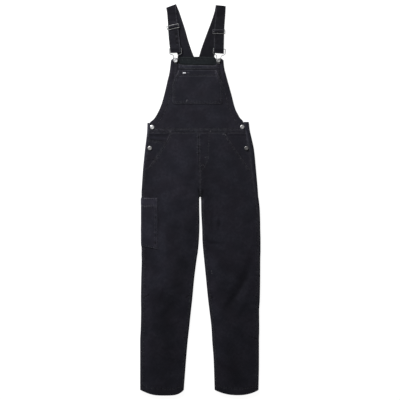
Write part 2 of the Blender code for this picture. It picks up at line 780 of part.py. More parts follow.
BUTTON_STEPS = 20


def button(name, profile, x, y, z, finish):
    """Turned metal button. The profile runs from its top outward and down to its foot, radius and height."""
    mesh = bpy.data.meshes.new(name)
    points = [(radius * MM, 0, height * MM) for radius, height in profile]
    mesh.from_pydata(points, [(i, i + 1) for i in range(len(points) - 1)], [])
    made = add_object(name, mesh, finish)
    made.location = (x * MM, y * MM, z * MM)
    screw = made.modifiers.new("turned", "SCREW")
    screw.steps = screw.render_steps = BUTTON_STEPS
    screw.use_merge_vertices = True
    screw.merge_threshold = 1e-5
    screw.use_smooth_shade = True


CAP_ON_POST = ((0, 5.7), (6.4, 5.4), (8.2, 4.8), (8.6, 3.9), (8.4, 3.2), (3.6, 3.2), (3.6, 0), (0, 0))
JEANS_CAP = ((0, 3.5), (5.9, 3.3), (7.9, 2.7), (8.5, 1.9), (8.2, 1.0), (5.0, 0.8), (5.0, 0), (0, 0))

SIDE_BUTTONS = (  # name, x, y, how far the cloth under it lies below the front's outer face
    ("button_waist_r", -192.5, 290, 0.0),
    ("button_waist_l", 167.5, 291, 0.0),
    ("button_hip_r", -202, 206, CLOTH + SEAM_GAP - LAYER_GAP - FACING),
    ("button_hip_l", 184.5, 206, CLOTH + SEAM_GAP),
)


def buttons():
    metal = material("dark_nickel", DARK_METAL, 0.35, 1.0)
    for side in ("r", "l"):
        x, y = BIB_BUTTON[side]
        z = float(front_height(x, y)) + LAYER_GAP
        button("button_bib_" + side, CAP_ON_POST, x, y, z, metal)
    for name, x, y, below in SIDE_BUTTONS:
        button(name, JEANS_CAP, x, y, float(front_height(x, y)) - below + LAYER_GAP, metal)


# ---------------------------------------------------------------------------------------- start

for stray in list(bpy.data.objects):
    bpy.data.objects.remove(stray)
GARMENT = bpy.data.collections.new("overalls")
bpy.context.scene.collection.children.link(GARMENT)

for wearer_side in ("r", "l"):
    leg_front(wearer_side)
    leg_back(wearer_side)
    pocket_facing(wearer_side)
coin_pocket()
bib_front()
waistband_front()
bib_top_band()
bib_pocket()
bib_pocket_band()
pocket_label()
tool_pockets()
bib_back()
for wearer_side in ("r", "l"):
    strap(wearer_side)
    slider(wearer_side)
    clasp(wearer_side)
buttons()
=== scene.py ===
"""Looks of bib overalls that lie flat on their back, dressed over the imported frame.

Sizes are millimetres on the frame's axes: the hem is towards -Y, the shoulders towards +Y, and z = 0 is
the surface that the garment lies on. "r" is the wearer's right (-X), "l" the wearer's left (+X). Cloth
pieces stand on the same tables as the CAD solids, with finer folds, turned edges, seams and thread.
"""

import json
import math

import bmesh
import bpy
import numpy as np
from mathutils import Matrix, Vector
from mathutils.geometry import delaunay_2d_cdt

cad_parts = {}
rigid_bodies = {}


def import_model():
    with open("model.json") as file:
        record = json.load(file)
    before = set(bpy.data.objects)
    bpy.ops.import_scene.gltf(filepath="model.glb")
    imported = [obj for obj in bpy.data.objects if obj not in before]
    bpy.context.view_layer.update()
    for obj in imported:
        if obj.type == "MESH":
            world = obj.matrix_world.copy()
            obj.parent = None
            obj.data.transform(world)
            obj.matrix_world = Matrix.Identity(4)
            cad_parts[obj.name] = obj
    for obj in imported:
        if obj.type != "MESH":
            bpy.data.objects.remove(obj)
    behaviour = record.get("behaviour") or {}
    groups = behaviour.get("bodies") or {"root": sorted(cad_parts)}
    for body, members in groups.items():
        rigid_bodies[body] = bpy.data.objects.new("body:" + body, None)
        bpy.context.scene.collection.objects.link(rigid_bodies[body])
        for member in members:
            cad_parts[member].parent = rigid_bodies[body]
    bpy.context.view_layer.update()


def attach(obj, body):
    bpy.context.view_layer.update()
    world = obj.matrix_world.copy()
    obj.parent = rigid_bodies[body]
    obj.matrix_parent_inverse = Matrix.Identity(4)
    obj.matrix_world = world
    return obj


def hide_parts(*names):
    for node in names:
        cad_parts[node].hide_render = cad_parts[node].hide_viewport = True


MM = 0.001
SIDES = ("r", "l")

# ------------------------------------------------------------------ the garment's tables, as in the part

CLOTH, PATCH, STRAP, FACING, BAND, TAB = 1.5, 1.2, 1.8, 0.9, 1.7, 0.7  # walls
SEAM_GAP, LAYER_GAP = 0.3, 0.35
JOIN = 0.03  # half the groove between two panels that are sewn edge to edge
WAIST_SEAM_TOP, WAIST_SEAM_BOTTOM, SIDE_TOP = 281, 267, {"r": 306, "l": 310}
CROTCH, HEM, BACK_BIB_TOP = 11, -761, 573
HEM_SAG, HEM_LEAN, HEM_ROUND = {"r": 22.2, "l": 20.8}, {"r": 1.24, "l": 1.06}, {"r": 3.4, "l": 2.3}
CURL = 6.0  # width of a leg's rounded edge, seen from above
SEAM_INSET, LEG_SEAM_INSET, INSEAM_INSET = {"r": 7.0, "l": 20.0}, {"r": 8.0, "l": 9.0}, 7.0
HEM_STITCH = HEM + 22
STITCH, STITCH_SHARE = 3.3, 0.39  # a stitch's pitch, and the share of it from its middle to its end
EDGE_STITCH = 2.6  # from an edge to its nearest row of topstitching


class Table:
    """Rows under named columns. Each column is a monotone cubic of the first, level past its ends."""

    def __init__(self, names, *rows):
        data = np.array(sorted(rows), float)
        self.stations = data[:, 0]
        self.columns = dict(zip(names.split()[1:], data.T[1:]))

    def __call__(self, name, at):
        stations, values = self.stations, self.columns[name]
        step = np.diff(stations)
        slope = np.diff(values) / step
        same_way = slope[:-1] * slope[1:] > 0
        total = np.where(same_way, slope[:-1] + slope[1:], 1.0)
        inner = np.where(same_way, 2 * slope[:-1] * slope[1:] / total, 0.0)
        tangent = np.concatenate([[slope[0]], inner, [slope[-1]]])
        i = np.clip(np.searchsorted(stations, at) - 1, 0, len(step) - 1)
        t = np.clip((at - stations[i]) / step[i], 0, 1)
        low = (1 + 2 * t) * (1 - t) ** 2 * values[i] + t * (1 - t) ** 2 * step[i] * tangent[i]
        return low + t**2 * (3 - 2 * t) * values[i + 1] - t**2 * (1 - t) * step[i] * tangent[i + 1]


LEGS = Table(
    "y outer_r inner_r inner_l outer_l",
    (311, -212, -8, -8, 194), (279, -213, -7, -7, 198), (239, -217, -6.5, -6.5, 207), (199, -222, -6, -6, 215),
    (119, -229.8, -3, -3, 223), (39, -235.2, -1, -1, 230), (CROTCH, -237.2, -1, -1, 232),
    (3, -238.6, -4.4, 2.6, 233.5), (-41, -238, -3.9, 3.2, 238), (-81, -237.6, -3.2, 5.1, 239.4),
    (-121, -238, -3.7, 7, 240), (-161, -238, -5.5, 8, 241), (-201, -237, -9, 11, 241),
    (-241, -235, -15, 15, 240), (-321, -237, -25, 23, 239.5), (-401, -238, -32.5, 31, 238),
    (-441, -237.5, -37, 36, 235.5), (-521, -239, -45.5, 45, 236), (-561, -241, -50, 47, 235),
    (-641, -241, -57, 53, 235), (-761, -241, -66, 57, 233),
)  # fmt: skip
BIB = Table(
    "y left right",
    (567, -110.6, 88), (559, -117.2, 92.4), (539, -119.8, 94.4), (523, -121.8, 96.8), (499, -125.8, 103),
    (479, -131, 108.4), (459, -135.4, 114), (419, -145, 125), (379, -156.5, 135), (359, -165, 141.5),
    (343, -173, 150), (327, -183, 159), (319, -190, 167.2), (312, -199.5, 172.2),
)  # fmt: skip
HEIGHT = Table(
    "y top",
    (-783, 9), (-741, 11), (-560, 12), (-400, 13), (-60, 13.5), (120, 13), (230, 11.5), (281, 10), (315, 8.6),
    (360, 7.4), (420, 6.4), (500, 5.6), (570, 5),
)  # fmt: skip
# Broad folds that the solids have too: x0, y0, x1, y1, width, rise
FOLDS = (
    (-141, -100, -150, -350, 20, 1.6), (-150, -350, -200, -450, 18, 1.3), (-95, -118, -45, -136, 13, -1.4),
    (-60, -40, -150, -75, 16, -1.1), (-100, -420, -160, -480, 16, -1.2), (-90, -560, -180, -610, 18, 1),
    (-80, -660, -150, -640, 14, -0.9), (215, -235, 105, -440, 19, -2.4), (225, -300, 150, -460, 17, 1.7),
    (45, -35, 92, -118, 14, -1.6), (32, -172, 80, -182, 13, -1.4), (95, -275, 145, -315, 13, -1.3),
    (12, 145, 48, -5, 14, -1.6), (-12, 120, -62, -10, 15, -1.2), (120, -520, 200, -590, 18, -1.3),
    (80, -640, 160, -680, 16, 1), (-150, 330, -60, 300, 16, -0.8), (40, 305, 140, 335, 16, 0.8),
)  # fmt: skip
# Bands where the denim is drawn paler or darker: x0, y0, x1, y1, width, share of the tone. Some are washed fading;
# others are painted light and shade: painted light along the right leg's outer side, which faces the lamp, painted
# highlights on the right hip's edge and on the ridge beside the crotch's pit, painted shade in that pit and beside
# it, in the dark diagonal fold at the left knee, in the centre front's pucker rungs and the groove between its two
# rows, and a painted shadow in the coin pocket's mouth.
PAINTED_LIGHT_AND_FADING = (
    (-92, 175, -90, -30, 58, 0.22), (-152, 80, -150, -60, 28, 0.2), (-170, -150, -150, -330, 44, 0.34),
    (-216, -300, -218, -740, 24, 0.38), (-40, 30, -46, -130, 26, -0.1), (-70, -260, -110, -400, 30, -0.22),
    (-140, -400, -118, -640, 34, -0.22), (16, 130, 20, -60, 22, -0.22), (90, -90, 100, -190, 44, 0.1),
    (44, -250, 72, -620, 26, 0.34), (182, -300, 112, -425, 21, -0.34), (130, -600, 146, -720, 34, -0.24),
    (96, 545, 112, 400, 20, -0.18), (-203, 241, -136, 232, 3, -0.55), (-206, 252, -138, 245, 2.4, 0.35),
    (-207, 302, -211, 255, 4, 1.2), (-213, 250, -224, 130, 4, 0.6), (184, 277, 190, 200, 2.8, 0.65),
    (-7, 40, -5, 14, 4, -0.6), (-11, 36, -9, 12, 1.8, 0.6), (10, 34, -4, 6, 7, -0.45), (22, 10, 6, -12, 5, 0.4),
    (-114, 555, -126, 492, 2.2, 0.5), (-106, 552, -112, 486, 2.6, -0.4), (-98, 545, -102, 484, 2.2, 0.45),
    (-90, 545, -92, 486, 3, -0.35), (62, 520, 68, 478, 2.2, 0.45), (72, 545, 82, 486, 3, -0.4),
    (80, 540, 92, 480, 2.2, 0.4), (88, 550, 100, 500, 3, -0.3), (-84, 526, 62, 523, 3.2, -0.35),
    (-82, 531, -42, 530.5, 3.6, 0.35), (-87.5, 516, -88.5, 499, 2.6, 0.9), (61, 510, 62, 500, 2.8, 0.8),
    (-12, 262, -11.5, 150, 2, 0.6), (-2.6, 262, -2, 160, 2, 0.6), (-6.4, 262, -5.6, 120, 1.3, -0.55),
    (-9, 250, 0, 250, 2.8, -0.65), (-9, 214, 0, 214, 2.8, -0.65), (-9, 202, 0, 202, 2.8, -0.65),
    (-9, 186, 0, 186, 2.8, -0.6), (-194, 269.5, -166, 269, 3, 0.4), (-196, 282, -150, 281, 3, 0.35),
    (152, 281, 172, 281, 3, 0.35),
)  # fmt: skip
# Finer creases of the front: x0, y0, x1, y1, bend, width, rise
FRONT_CREASES = (
    (-20, 92, -96, 118, 5, 7, 0.45), (-14, 58, -104, 62, -7, 8, 0.5), (-10, 28, -86, 4, -5, 7, -0.5),
    (16, 84, 88, 112, -5, 8, 0.45), (10, 52, 104, 70, 6, 8, -0.45), (12, 24, 96, 2, 6, 7, 0.5),
    (-30, -70, -88, -92, 4, 7, 0.5), (-200, -60, -150, -88, 5, 9, 0.4), (-214, -236, -160, -262, 5, 9, -0.45),
    (-60, -232, -118, -250, -5, 9, 0.45), (-200, -318, -128, -296, -7, 9, 0.5),
    (-58, -330, -120, -352, 6, 8, -0.5), (-226, -372, -176, -352, 5, 7, 0.45),
    (-62, -398, -128, -384, -6, 8, 0.5), (-226, -432, -170, -446, 6, 8, -0.45),
    (-74, -462, -132, -500, 6, 9, 0.45), (-224, -520, -160, -546, -8, 9, 0.4),
    (-84, -604, -142, -590, 6, 8, -0.35), (-220, -664, -168, -688, 6, 9, 0.4),
    (-96, -712, -160, -728, -5, 8, 0.35), (54, -78, 128, -96, 6, 8, 0.4), (222, -66, 160, -104, -6, 9, 0.45),
    (60, -208, 126, -236, 6, 8, -0.45), (228, -176, 168, -200, 6, 9, 0.4), (222, -342, 172, -326, -6, 7, -0.5),
    (64, -352, 132, -372, 6, 8, 0.5), (228, -392, 178, -412, 5, 8, 0.5), (70, -420, 128, -462, -6, 8, -0.4),
    (226, -470, 160, -496, -7, 9, 0.45), (84, -546, 150, -566, 6, 9, 0.4), (222, -626, 164, -612, 6, 8, -0.35),
    (92, -704, 158, -724, 6, 9, 0.4), (-134, 200, -60, 222, 8, 10, 0.35), (60, 190, 130, 168, 7, 10, -0.35),
    (-176, 60, -110, 84, -7, 10, 0.35), (176, 48, 116, 76, 6, 10, 0.35), (-104, 398, -122, 452, 3, 6, -0.3),
    (-126, 372, -88, 362, 3, 6, 0.35), (-130, 386, -98, 378, -3, 5, -0.3), (76, 372, 112, 366, -3, 6, 0.3),
    (-96, 300, -20, 318, 6, 9, 0.35), (10, 322, 96, 296, -5, 9, -0.35), (-60, 350, 30, 356, 4, 9, 0.3),
    (-168, 304, -120, 322, 4, 7, 0.35), (138, 312, 100, 322, 4, 7, 0.3), (50, -58, 52, -126, -2, 6, -1.3),
    (64, -54, 65, -128, 3, 7, 1.2), (79, -60, 77, -120, 2, 6, -1), (32, -176, 74, -179, 2, 6, -1.1),
    (196, -285, 106, -430, 8, 11, -1.6), (214, -262, 132, -470, 10, 14, 1), (-60, 60, -150, -30, 10, 18, 0.9),
    (-196, -230, -212, -470, -8, 16, 1), (-7, 44, -5, 14, 0, 4, -3),
)  # fmt: skip
# Creases of the underside, which rise off the surface that it lies on
BACK_CREASES = (
    (-30, 210, -120, 150, 8, 12, 1.3), (20, 215, 118, 148, -8, 12, 1.2), (-24, 120, -110, 60, 7, 10, 1.1),
    (18, 112, 112, 44, -7, 11, 1.2), (-20, 30, -100, -40, 8, 10, 1), (22, 20, 96, -52, 6, 10, 1.1),
    (-40, -120, -170, -150, 9, 12, 1.2), (40, -138, 178, -170, -8, 12, 1.2), (-190, -240, -80, -280, 8, 12, 1),
    (196, -262, 84, -300, 8, 11, 1.1), (-60, -352, -180, -372, 7, 9, 1.4), (70, -348, 186, -368, -7, 9, 1.4),
    (-76, -396, -190, -412, 6, 9, 1.2), (66, -402, 176, -422, 7, 9, 1.3), (-90, -470, -170, -520, 8, 12, 1),
    (88, -486, 180, -524, 8, 12, 1), (-196, -600, -100, -650, 7, 12, 0.9), (190, -616, 104, -660, -7, 12, 0.9),
    (-150, 236, -60, 250, 6, 9, 0.8), (60, 246, 140, 232, 6, 9, 0.8),
)  # fmt: skip
TOOL_POCKET = {"top": 7, "band": -26, "bottom": -184, "corner": -199, "front": 66, "rear": 96}
POCKET_MOUTH = {
    "r": ((-124, WAIST_SEAM_BOTTOM), (-128, 236), (-212, 124)),
    "l": ((100, WAIST_SEAM_BOTTOM), (115, 238), (205, 112)),
}
BIB_POCKET = {"top": 519, "band": 496, "wide": 463, "bottom": 383, "left": -111, "right": 89}
LABEL = (-70.2, -58.6, 504.8, 509.8)  # left, right, low, high


def ease(t):
    """Smooth step from 0 to 1."""
    t = np.clip(t, 0, 1)
    return t * t * (3 - 2 * t)


def bump(distance, width):
    """1 on a line, fading to 0 on both sides of it."""
    return np.exp(-((distance / width) ** 2))


def inward(side):
    """Direction along X from a leg's outer edge to the garment's middle."""
    return 1 if side == "r" else -1


def wander(x, y, size, seed):
    """Even, repeatable unevenness between about -1 and 1, some size mm from crest to crest."""
    random = np.random.default_rng(seed)
    total = 0.0
    for _ in range(7):
        heading, phase = random.uniform(0, 2 * math.pi, 2)
        pace = 2 * math.pi / (size * random.uniform(0.7, 1.6))
        total = total + np.sin((x * math.cos(heading) + y * math.sin(heading)) * pace + phase)
    return total / 3.2


def soft_bands(rows, x, y):
    """Sum of rounded bumps, each along its own line and faded at both ends."""
    total = np.zeros(np.broadcast(x, y).shape)
    for x0, y0, x1, y1, width, rise in rows:
        length = math.hypot(x1 - x0, y1 - y0)
        ax, ay = (x1 - x0) / length, (y1 - y0) / length
        reach = (x - x0) * ax + (y - y0) * ay
        across = (y - y0) * ax - (x - x0) * ay
        past_end = np.maximum(0, np.maximum(-reach, reach - length))
        total = total + rise * np.exp(-((across / width) ** 2) - (past_end / width) ** 2)
    return total


def crease_height(rows, x, y):
    """Creases along slightly bent lines, each with a shallow hollow on one side."""
    height = np.zeros(np.broadcast(x, y).shape)
    for x0, y0, x1, y1, bend, width, rise in rows:
        length = math.hypot(x1 - x0, y1 - y0)
        ax, ay = (x1 - x0) / length, (y1 - y0) / length
        reach = ((x - x0) * ax + (y - y0) * ay) / length
        held = np.clip(reach, 0, 1)
        across = ((y - y0) * ax - (x - x0) * ay - 4 * bend * held * (1 - held)) / width
        past = np.maximum(0, np.abs(reach - 0.5) - 0.5) * length / width
        fade = (0.2 + 0.8 * np.sin(math.pi * held)) * bump(past, 1)
        height = height + rise * fade * (bump(across, 1) - 0.4 * bump(across - 1.7, 1.3))
    return height


def solid_front(x, y):
    """Outer face of the front as the solids have it."""
    return HEIGHT("top", y) + soft_bands(FOLDS, x, y)


def front(x, y):
    """Outer face of the whole front, bib and legs."""
    uneven = 0.30 * wander(x, y, 74, 1) + 0.10 * wander(x, y, 21, 2)
    return solid_front(x, y) + crease_height(FRONT_CREASES, x, y) + uneven


def under_tool_pocket(y):
    """How far the right leg's skin gives way to the pocket folded round it."""
    above, below = TOOL_POCKET["top"] + 26 - y, y - TOOL_POCKET["corner"] + 26
    return (PATCH + LAYER_GAP) * ease(above / 24) * ease(below / 24)


def outer_edge(side, y):
    return LEGS("outer_" + side, y) + (under_tool_pocket(y) if side == "r" else 0)


def hem_drop(side, x, y):
    """How far a laid point is drawn down, so that the leg ends in a hem that hangs in its middle."""
    low, high = sorted((outer_edge(side, y), LEGS("inner_" + side, y)), key=np.mean)
    across = np.clip((x - low) / (high - low), 0, 1) ** HEM_LEAN[side]
    return HEM_SAG[side] * (1 - np.abs(2 * across - 1) ** HEM_ROUND[side]) * ease((HEM + 80 - y) / 80)


def seam_inset(side, y):
    blend = np.clip((y + 60) / 180, 0, 1)
    return LEG_SEAM_INSET[side] + (SEAM_INSET[side] - LEG_SEAM_INSET[side]) * blend


def side_seam(side, y):
    return outer_edge(side, y) + inward(side) * seam_inset(side, y)


def raised(side, y):
    """A section's height at the side, where the back stands above its own waist seam."""
    return y + (SIDE_TOP[side] - WAIST_SEAM_TOP) * np.maximum(0, (y - 190) / (WAIST_SEAM_TOP - 190))


def split_below_crotch(y):
    """0 where the legs are one tube, 1 where each leg's inner edge has folded down."""
    return ease((CROTCH - y) / 3)


def inseam(side, y, inset=0.0):
    """The front panel's inner edge: the inseam, then the centre seam."""
    gap = JOIN + INSEAM_INSET * split_below_crotch(y)
    return LEGS("inner_" + side, y) - inward(side) * (gap + inset)


def leg_skin(side, y, edge, reach):
    """Outer face of a leg's tube round its "outer" or "inner" edge, and the direction that faces out.

    reach runs from the top (+) over the folded edge (0) to the underside (-), in mm from the edge.
    """
    y, reach = np.broadcast_arrays(np.asarray(y, float), np.asarray(reach, float))
    way = inward(side) if edge == "outer" else -inward(side)
    at = outer_edge(side, y) if edge == "outer" else LEGS("inner_" + side, y)
    base = np.zeros(y.shape)
    if side == "r" and edge == "outer":
        base = under_tool_pocket(y) * np.clip((TOOL_POCKET["rear"] + 30 + reach) / 28, 0, 1)
    top = front(at + way * np.maximum(CURL, reach), y)
    angle = math.pi / 2 * np.clip(reach / CURL, -1, 1)
    middle, half = (top + base) / 2, (top - base) / 2
    x = at + way * (CURL * (1 - np.cos(angle)) + np.maximum(np.abs(reach) - CURL, 0))
    out = np.stack([-way * np.cos(angle) / CURL, np.zeros(y.shape), np.sin(angle) / half], -1)
    out /= np.linalg.norm(out, axis=-1, keepdims=True)
    return np.stack([x, y, middle + half * np.sin(angle)], -1), out


# ------------------------------------------------------------------------------ lines and cut outlines


def resample(points, pitch, closed=False):
    """The same line with its corners kept and no step longer than pitch."""
    points = [np.asarray(p, float) for p in points]
    if closed:
        points.append(points[0])
    out = []
    for a, b in zip(points, points[1:]):
        count = max(1, math.ceil(np.linalg.norm(b - a) / pitch))
        out += [a + (b - a) * i / count for i in range(count)]
    return np.array(out if closed else out + [points[-1]])


def soften(points, rounds=2):
    """Corner cutting that keeps both ends."""
    points = np.asarray(points, float)
    for _ in range(rounds):
        a, b = points[:-1], points[1:]
        parts = np.stack([0.75 * a + 0.25 * b, 0.25 * a + 0.75 * b], 1).reshape(-1, 2)
        points = np.vstack([points[:1], parts[1:-1], points[-1:]])
    return points


def beside(points, distance, closed=False):
    """A line moved to its left by distance."""
    points = np.asarray(points, float)
    if closed:
        along = np.roll(points, -1, 0) - np.roll(points, 1, 0)
    else:
        along = np.gradient(points, axis=0)
    along /= np.maximum(np.linalg.norm(along, axis=1, keepdims=True), 1e-9)
    return points + distance * np.stack([-along[:, 1], along[:, 0]], 1)


def between(line, low, high):
    """The stretch of a line that lies between two heights."""
    return line[(line[:, 1] > low) & (line[:, 1] < high)]


def running(points):
    """Length run so far at each point of a line."""
    return np.concatenate([[0], np.cumsum(np.linalg.norm(np.diff(points, axis=0), axis=1))])


def at_length(at, run, points):
    """Points at given lengths along a line."""
    return np.column_stack([np.interp(at, run, values) for values in np.asarray(points).T])


def nearest(x, y, line):
    """Distance from points to a line, and how far along the line the nearest place is."""
    a, b = line[:-1], line[1:]
    run = b - a
    length = np.maximum(np.linalg.norm(run, axis=1), 1e-9)
    start = np.concatenate([[0], np.cumsum(length)[:-1]])
    far, along = np.empty(len(x)), np.empty(len(x))
    for i in range(0, len(x), 4000):
        px, py = x[i : i + 4000, None] - a[:, 0], y[i : i + 4000, None] - a[:, 1]
        t = np.clip((px * run[:, 0] + py * run[:, 1]) / length**2, 0, 1)
        d = np.hypot(px - t * run[:, 0], py - t * run[:, 1])
        best = d.argmin(1)
        rows = np.arange(len(best))
        far[i : i + 4000] = d[rows, best]
        along[i : i + 4000] = start[best] + t[rows, best] * length[best]
    return far, along


def inside(x, y, outline):
    """Whether points lie inside a closed outline."""
    a, b = outline, np.roll(outline, -1, 0)
    hit = np.zeros(len(x), bool)
    for i in range(0, len(x), 4000):
        px, py = x[i : i + 4000, None], y[i : i + 4000, None]
        spans = (a[:, 1] > py) != (b[:, 1] > py)
        rise = np.where(b[:, 1] == a[:, 1], 1e-9, b[:, 1] - a[:, 1])
        crossing = a[:, 0] + (py - a[:, 1]) * (b[:, 0] - a[:, 0]) / rise
        hit[i : i + 4000] = (spans & (px < crossing)).sum(1) % 2 == 1
    return hit


class Seam:
    """A line of stitching: it pulls the cloth down in a groove and puckers it on both sides."""

    def __init__(self, points, split=None, groove=0.35, pucker=0.38, thread=True, pitch=STITCH, pale=False):
        self.line = resample(points, split) if split else np.asarray(points, float)
        self.groove, self.pucker, self.thread, self.pitch, self.pale = groove, pucker, thread, pitch, pale

    def relief(self, x, y):
        """Height, how much the crests beside the line have rubbed pale, and how dark its groove and pucker troughs
        are drawn: painted shade, partly darker dye held in them.
        """
        far, along = nearest(x, y, self.line)
        shift = self.line[0].sum() + self.line[-1, 0]
        wave = (
            0.55 * np.sin(along * 2 * math.pi / 10.6 + shift)
            + 0.35 * np.sin(along * 2 * math.pi / 6.9 + 2.1 * shift)
            + 0.30 * np.sin(along * 2 * math.pi / 23.0 + 0.7 * shift)
        )
        height = self.pucker * wave * bump(far, 5.0)
        height += self.groove * (0.4 * bump(far - 2.2, 1.2) - bump(far, 1.0))
        patches = np.clip(0.62 + 0.5 * wander(x, y, 70, 17), 0.1, 1)
        crest = bump(far - 2.2, 1.8) * np.clip(0.12 + 0.75 * wave, 0, 1) * patches
        # Painted shade, partly darker dye: the groove and the troughs of the puckers are darkened.
        hollow = self.groove * bump(far, 1.1) + self.pucker * bump(far - 2.5, 2.4) * np.clip(-wave, 0, 1)
        return height, crest, hollow


def tack(ends, split, pitch, groove=0.35, pale=True):
    """A short close row of thread, as a machine sews at a strained point."""
    return Seam(ends, split, groove, 0.1, pitch=pitch, pale=pale)


# ------------------------------------------------------------------------------------------- meshes


def link(name, data):
    made = bpy.data.objects.new(name, data)
    bpy.context.scene.collection.objects.link(made)
    return made


def add_mesh(name, verts, faces, uv=None, wear_and_highlight=None, inner=None, finishes=(), tone=1.0):
    """A shaded object from points in mm, with the cloth's own coordinates in metres as its UV map."""
    mesh = bpy.data.meshes.new(name)
    mesh.from_pydata((np.asarray(verts) * MM).tolist(), [], faces)
    for finish in finishes:
        mesh.materials.append(finish)
    mesh.polygons.foreach_set("use_smooth", np.ones(len(mesh.polygons), bool))
    if inner is not None:
        mesh.polygons.foreach_set("material_index", np.asarray(inner, np.int32))
    if uv is not None:
        corner = np.empty(len(mesh.loops), np.int32)
        mesh.loops.foreach_get("vertex_index", corner)
        layer = mesh.uv_layers.new(name="cloth")
        layer.data.foreach_set("uv", (np.asarray(uv)[corner] * MM).astype(np.float32).ravel())
    if wear_and_highlight is not None:
        # fade scales the colour: the tone, times the bands of washed fading and of painted light and shade.
        fade = np.clip(tone * (1 + soft_bands(PAINTED_LIGHT_AND_FADING, verts[:, 0], verts[:, 1])), 0.1, 4)
        for kind, values in (("wear_and_highlight", np.clip(wear_and_highlight, 0, 1)), ("fade", fade)):
            mesh.attributes.new(kind, "FLOAT", "POINT").data.foreach_set("value", values.astype(np.float32))
    mesh.update()
    return link(name, mesh)


def dress(made, nodes):
    """States what a piece rides on and which solids it stands for."""
    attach(made, "root")
    if nodes:
        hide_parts(*nodes)


def rim_profile(distance, wall, radius=1.1):
    """Thickness near a cut or turned edge, rounded off over radius."""
    t = np.clip(distance / radius, 0, 1)
    return wall * (0.3 + 0.7 * np.sqrt(np.maximum(1 - (1 - t) ** 2, 0)))


def triangulate(outline, points):
    """Points joined by triangles inside the outline. Returns the points, the triangles and the outline."""
    count = len(outline)
    edges = [(i, (i + 1) % count) for i in range(count)]
    flat = [Vector(p) for p in np.vstack([outline, points])]
    verts, _, faces, came_from = delaunay_2d_cdt(flat, edges, [], 0, 1e-5, True)[:4]
    where = {source: i for i, sources in enumerate(came_from) for source in sources}
    verts = np.array([tuple(v) for v in verts])
    ring = [where[i] for i in range(count)]
    middle = verts[np.array(faces)].mean(1)
    faces = [list(f) for f, held in zip(faces, inside(middle[:, 0], middle[:, 1], verts[ring])) if held]
    return verts, faces, ring


def hexagonal(low, high, step):
    """Points of a triangular grid over a box."""
    rows = np.arange(low[1], high[1], step * 0.866)
    x = np.arange(low[0], high[0], step)
    return np.vstack([np.stack([x + (i % 2) * step / 2, np.full(len(x), y)], 1) for i, y in enumerate(rows)])


THREADS = {}  # group name: list of (start, end, up) arrays


def stitch_along(points, normals, group="thread_back", lift=0.08):
    """Stitches along a line of points with the directions that face out."""
    run = running(points)
    count = int((run[-1] - 1) / STITCH)
    middle = (np.arange(count) + 0.5) * run[-1] / count
    up = at_length(middle, run, normals)
    up /= np.linalg.norm(up, axis=1, keepdims=True)
    ends = [at_length(middle + s * STITCH_SHARE * STITCH, run, points) + up * lift for s in (-1, 1)]
    THREADS.setdefault(group, []).append((*ends, up))


def stitch_seam(seam, face, place, group):
    """Stitches along a seam on face(x, y)."""
    line = resample(seam.line, 1.0)
    run = running(line)
    count = int((run[-1] - 1) / seam.pitch)
    middle = (np.arange(count) + 0.5) * run[-1] / count
    ends = []
    for shift in (-STITCH_SHARE, STITCH_SHARE):
        x, y = at_length(middle + shift * seam.pitch, run, line).T
        ends.append(place(np.column_stack([x, y, face(x, y) + 0.05])))
    up = np.tile([0.0, 0.0, 1.0], (count, 1))
    THREADS.setdefault("thread_pale" if seam.pale else group, []).append((*ends, up))


